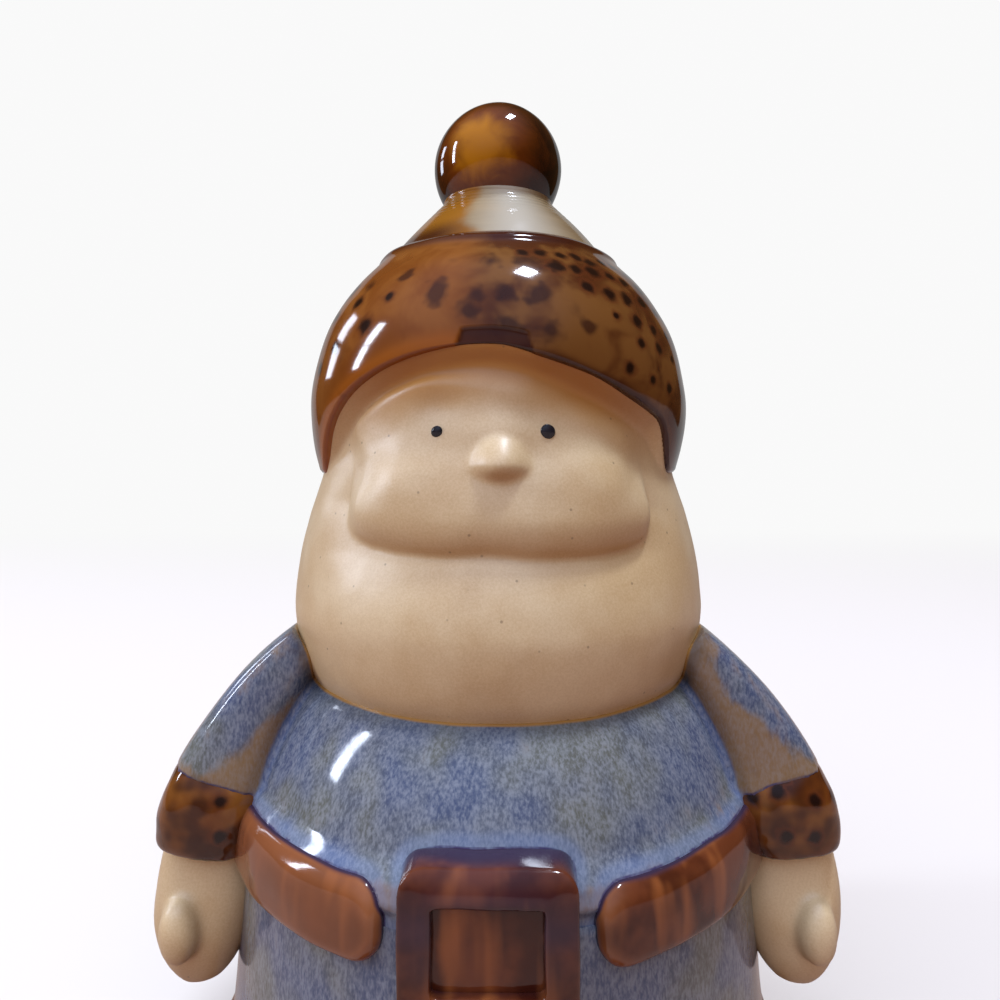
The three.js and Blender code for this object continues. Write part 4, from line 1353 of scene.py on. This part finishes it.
def white_board():
    """Matt white paint on board, lit by the lamps near the figure and evenly pale further back.

    Its light on the figure is that of a brown table, and reflections see only a share of its white.
    """
    finish, place = new_material("matt_white_board")
    rays = add_node(finish, "ShaderNodeLightPath", {}, "Is Camera Ray")
    paths = rays.node.outputs
    mirrored = add_node(
        finish, "ShaderNodeMath",
        {"Value": paths["Is Glossy Ray"], "Value_001": paths["Is Transmission Ray"]}, operation="MAXIMUM")
    reflected = add_node(
        finish, "ShaderNodeMath", {"Value": mirrored, "Value_001": REFLECTED_SHARE}, operation="MULTIPLY")
    seen = add_node(
        finish, "ShaderNodeMath", {"Value": rays, "Value_001": reflected}, operation="MAXIMUM")
    depth = add_node(finish, "ShaderNodeSeparateXYZ", {"Vector": place}, "Y")
    far = add_node(
        finish, "ShaderNodeMapRange",
        {"Value": depth, "From Min": 0.15, "From Max": 1.1}, interpolation_type="SMOOTHSTEP")
    white = layered(finish, "#743f10", "#ddd7cd", seen)
    unlit = layered(finish, white, "#000000", far)
    bright = add_node(
        finish, "ShaderNodeMath", {"Value": seen, "Value_001": BACKDROP_BRIGHTNESS}, operation="MULTIPLY")
    glow = add_node(finish, "ShaderNodeMath", {"Value": bright, "Value_001": far}, operation="MULTIPLY")
    return finished(finish, {
        "Base Color": unlit, "Roughness": 0.9, "Specular IOR Level": 0,
        "Emission Color": "#ffffff", "Emission Strength": glow})


board = bmesh.new()
cove_start = WALL_DISTANCE - COVE_RADIUS
board_line = [Vector((-FLOOR_REACH, -FLOOR_REACH, 0)), Vector((-FLOOR_REACH, cove_start, 0))]
for step in range(1, COVE_STEPS + 1):
    slope = step / COVE_STEPS * math.pi / 2
    board_line.append(Vector((
        -FLOOR_REACH, cove_start + COVE_RADIUS * math.sin(slope), COVE_RADIUS * (1 - math.cos(slope)))))
board_line.append(Vector((-FLOOR_REACH, WALL_DISTANCE, WALL_HEIGHT)))
board_verts = [board.verts.new(point) for point in board_line]
board_edges = [board.edges.new(pair) for pair in zip(board_verts, board_verts[1:])]
swept = bmesh.ops.extrude_edge_only(board, edges=board_edges)["geom"]
far_side = [part for part in swept if isinstance(part, bmesh.types.BMVert)]
bmesh.ops.translate(board, vec=(2 * FLOOR_REACH, 0, 0), verts=far_side)
for vert in board.verts:
    if vert.co.y > 0:
        vert.co.x *= WALL_NARROWING
bmesh.ops.recalc_face_normals(board, faces=board.faces)
floor = loose(board, "floor")
floor.data.shade_smooth()
floor.data.materials.append(white_board())

# Light
# Two tall windows on the left and a small softbox overhead, in a room that is palest above.
# Warm light comes back from below, as from a wooden table.
DAYLIGHT = "#e2ecff"
FIGURE_MIDDLE = Vector((0, 0, 0.12))
PALEST_SIDE = (-0.2, -0.5, 0.84)


def softbox(name, place, width, height, power):
    """A rectangular lamp that faces the figure."""
    lamp = bpy.data.lights.new(name, "AREA")
    lamp.shape = "RECTANGLE"
    lamp.size = width
    lamp.size_y = height
    lamp.energy = power
    lamp.color = linear(DAYLIGHT)[:3]
    holder = bpy.data.objects.new(name, lamp)
    holder.location = place
    holder.rotation_mode = "QUATERNION"
    holder.rotation_quaternion = (FIGURE_MIDDLE - Vector(place)).to_track_quat("-Z", "Y")
    bpy.context.scene.collection.objects.link(holder)


def pale_room():
    """A room that is bluish and bright above, warm and dim below, and plain white to the camera.

    The glazes mirror less of it than falls on them, so that their colours keep their depth.
    """
    room = bpy.data.worlds.new("pale_room")
    room.use_nodes = True
    room.node_tree.nodes.clear()
    direction = add_node(room, "ShaderNodeTexCoord", {}, "Generated")
    skyward = add_node(
        room, "ShaderNodeVectorMath", {"Vector": direction, "Vector_001": PALEST_SIDE}, "Value",
        operation="DOT_PRODUCT")
    height = add_node(
        room, "ShaderNodeMapRange",
        {"Value": skyward, "From Min": 0.38, "From Max": 0.97}, interpolation_type="SMOOTHSTEP")
    tint = layered(room, "#ffc080", "#d2e1ff", height)
    mirrored = add_node(room, "ShaderNodeLightPath", {}, "Is Glossy Ray")
    brightest = add_node(room, "ShaderNodeMapRange", {"Value": mirrored, "To Min": 2.5, "To Max": 0.5})
    dimmest = add_node(room, "ShaderNodeMapRange", {"Value": mirrored, "To Min": 0.04, "To Max": 0.1})
    brightness = add_node(
        room, "ShaderNodeMapRange", {"Value": height, "To Min": dimmest, "To Max": brightest})
    paths = mirrored.node.outputs
    looked_at = add_node(
        room, "ShaderNodeMath",
        {"Value": paths["Is Camera Ray"], "Value_001": paths["Is Transmission Ray"]}, operation="MAXIMUM")
    colour = layered(room, tint, "#ffffff", looked_at)
    strength = add_node(
        room, "ShaderNodeMix",
        {"Factor_Float": looked_at, "A_Float": brightness, "B_Float": BACKDROP_BRIGHTNESS})
    background = add_node(room, "ShaderNodeBackground", {"Color": colour, "Strength": strength})
    add_node(room, "ShaderNodeOutputWorld", {"Surface": background})
    return room


for pane, level in (("upper", 1.14), ("lower", 0.7)):
    softbox(f"{pane}_window_softbox", (-1.78, -0.25, level), width=0.17, height=0.38, power=6.5)
    softbox(f"{pane}_side_window_softbox", (-1.64, 0.73, level - 0.05), width=0.28, height=0.34, power=3)
softbox("overhead_softbox", (0.38, -0.12, 1.9), width=0.34, height=0.2, power=22)
bpy.context.scene.world = pale_room()

# Camera
# Close in front of the face and level with it, as the picture was taken.
IMAGE_WIDTH = 1000
FOCAL_PIXELS = 680
EYE_LEVEL = 0.13087
CAMERA_DISTANCE = 0.14
VIEW_CENTRE = (498, 455)
camera_data = bpy.data.cameras.new("camera")
camera_data.sensor_width = 36
camera_data.lens = camera_data.sensor_width * FOCAL_PIXELS / IMAGE_WIDTH
camera_data.shift_x = (IMAGE_WIDTH / 2 - VIEW_CENTRE[0]) / IMAGE_WIDTH
camera_data.shift_y = (VIEW_CENTRE[1] - IMAGE_WIDTH / 2) / IMAGE_WIDTH
camera_data.clip_start = 0.005
camera = bpy.data.objects.new("camera", camera_data)
camera.location = (0, -CAMERA_DISTANCE, EYE_LEVEL)
camera.rotation_euler = (math.pi / 2, 0, 0)
bpy.context.scene.collection.objects.link(camera)
bpy.context.scene.camera = camera
bpy.context.scene.view_settings.view_transform = "Standard"
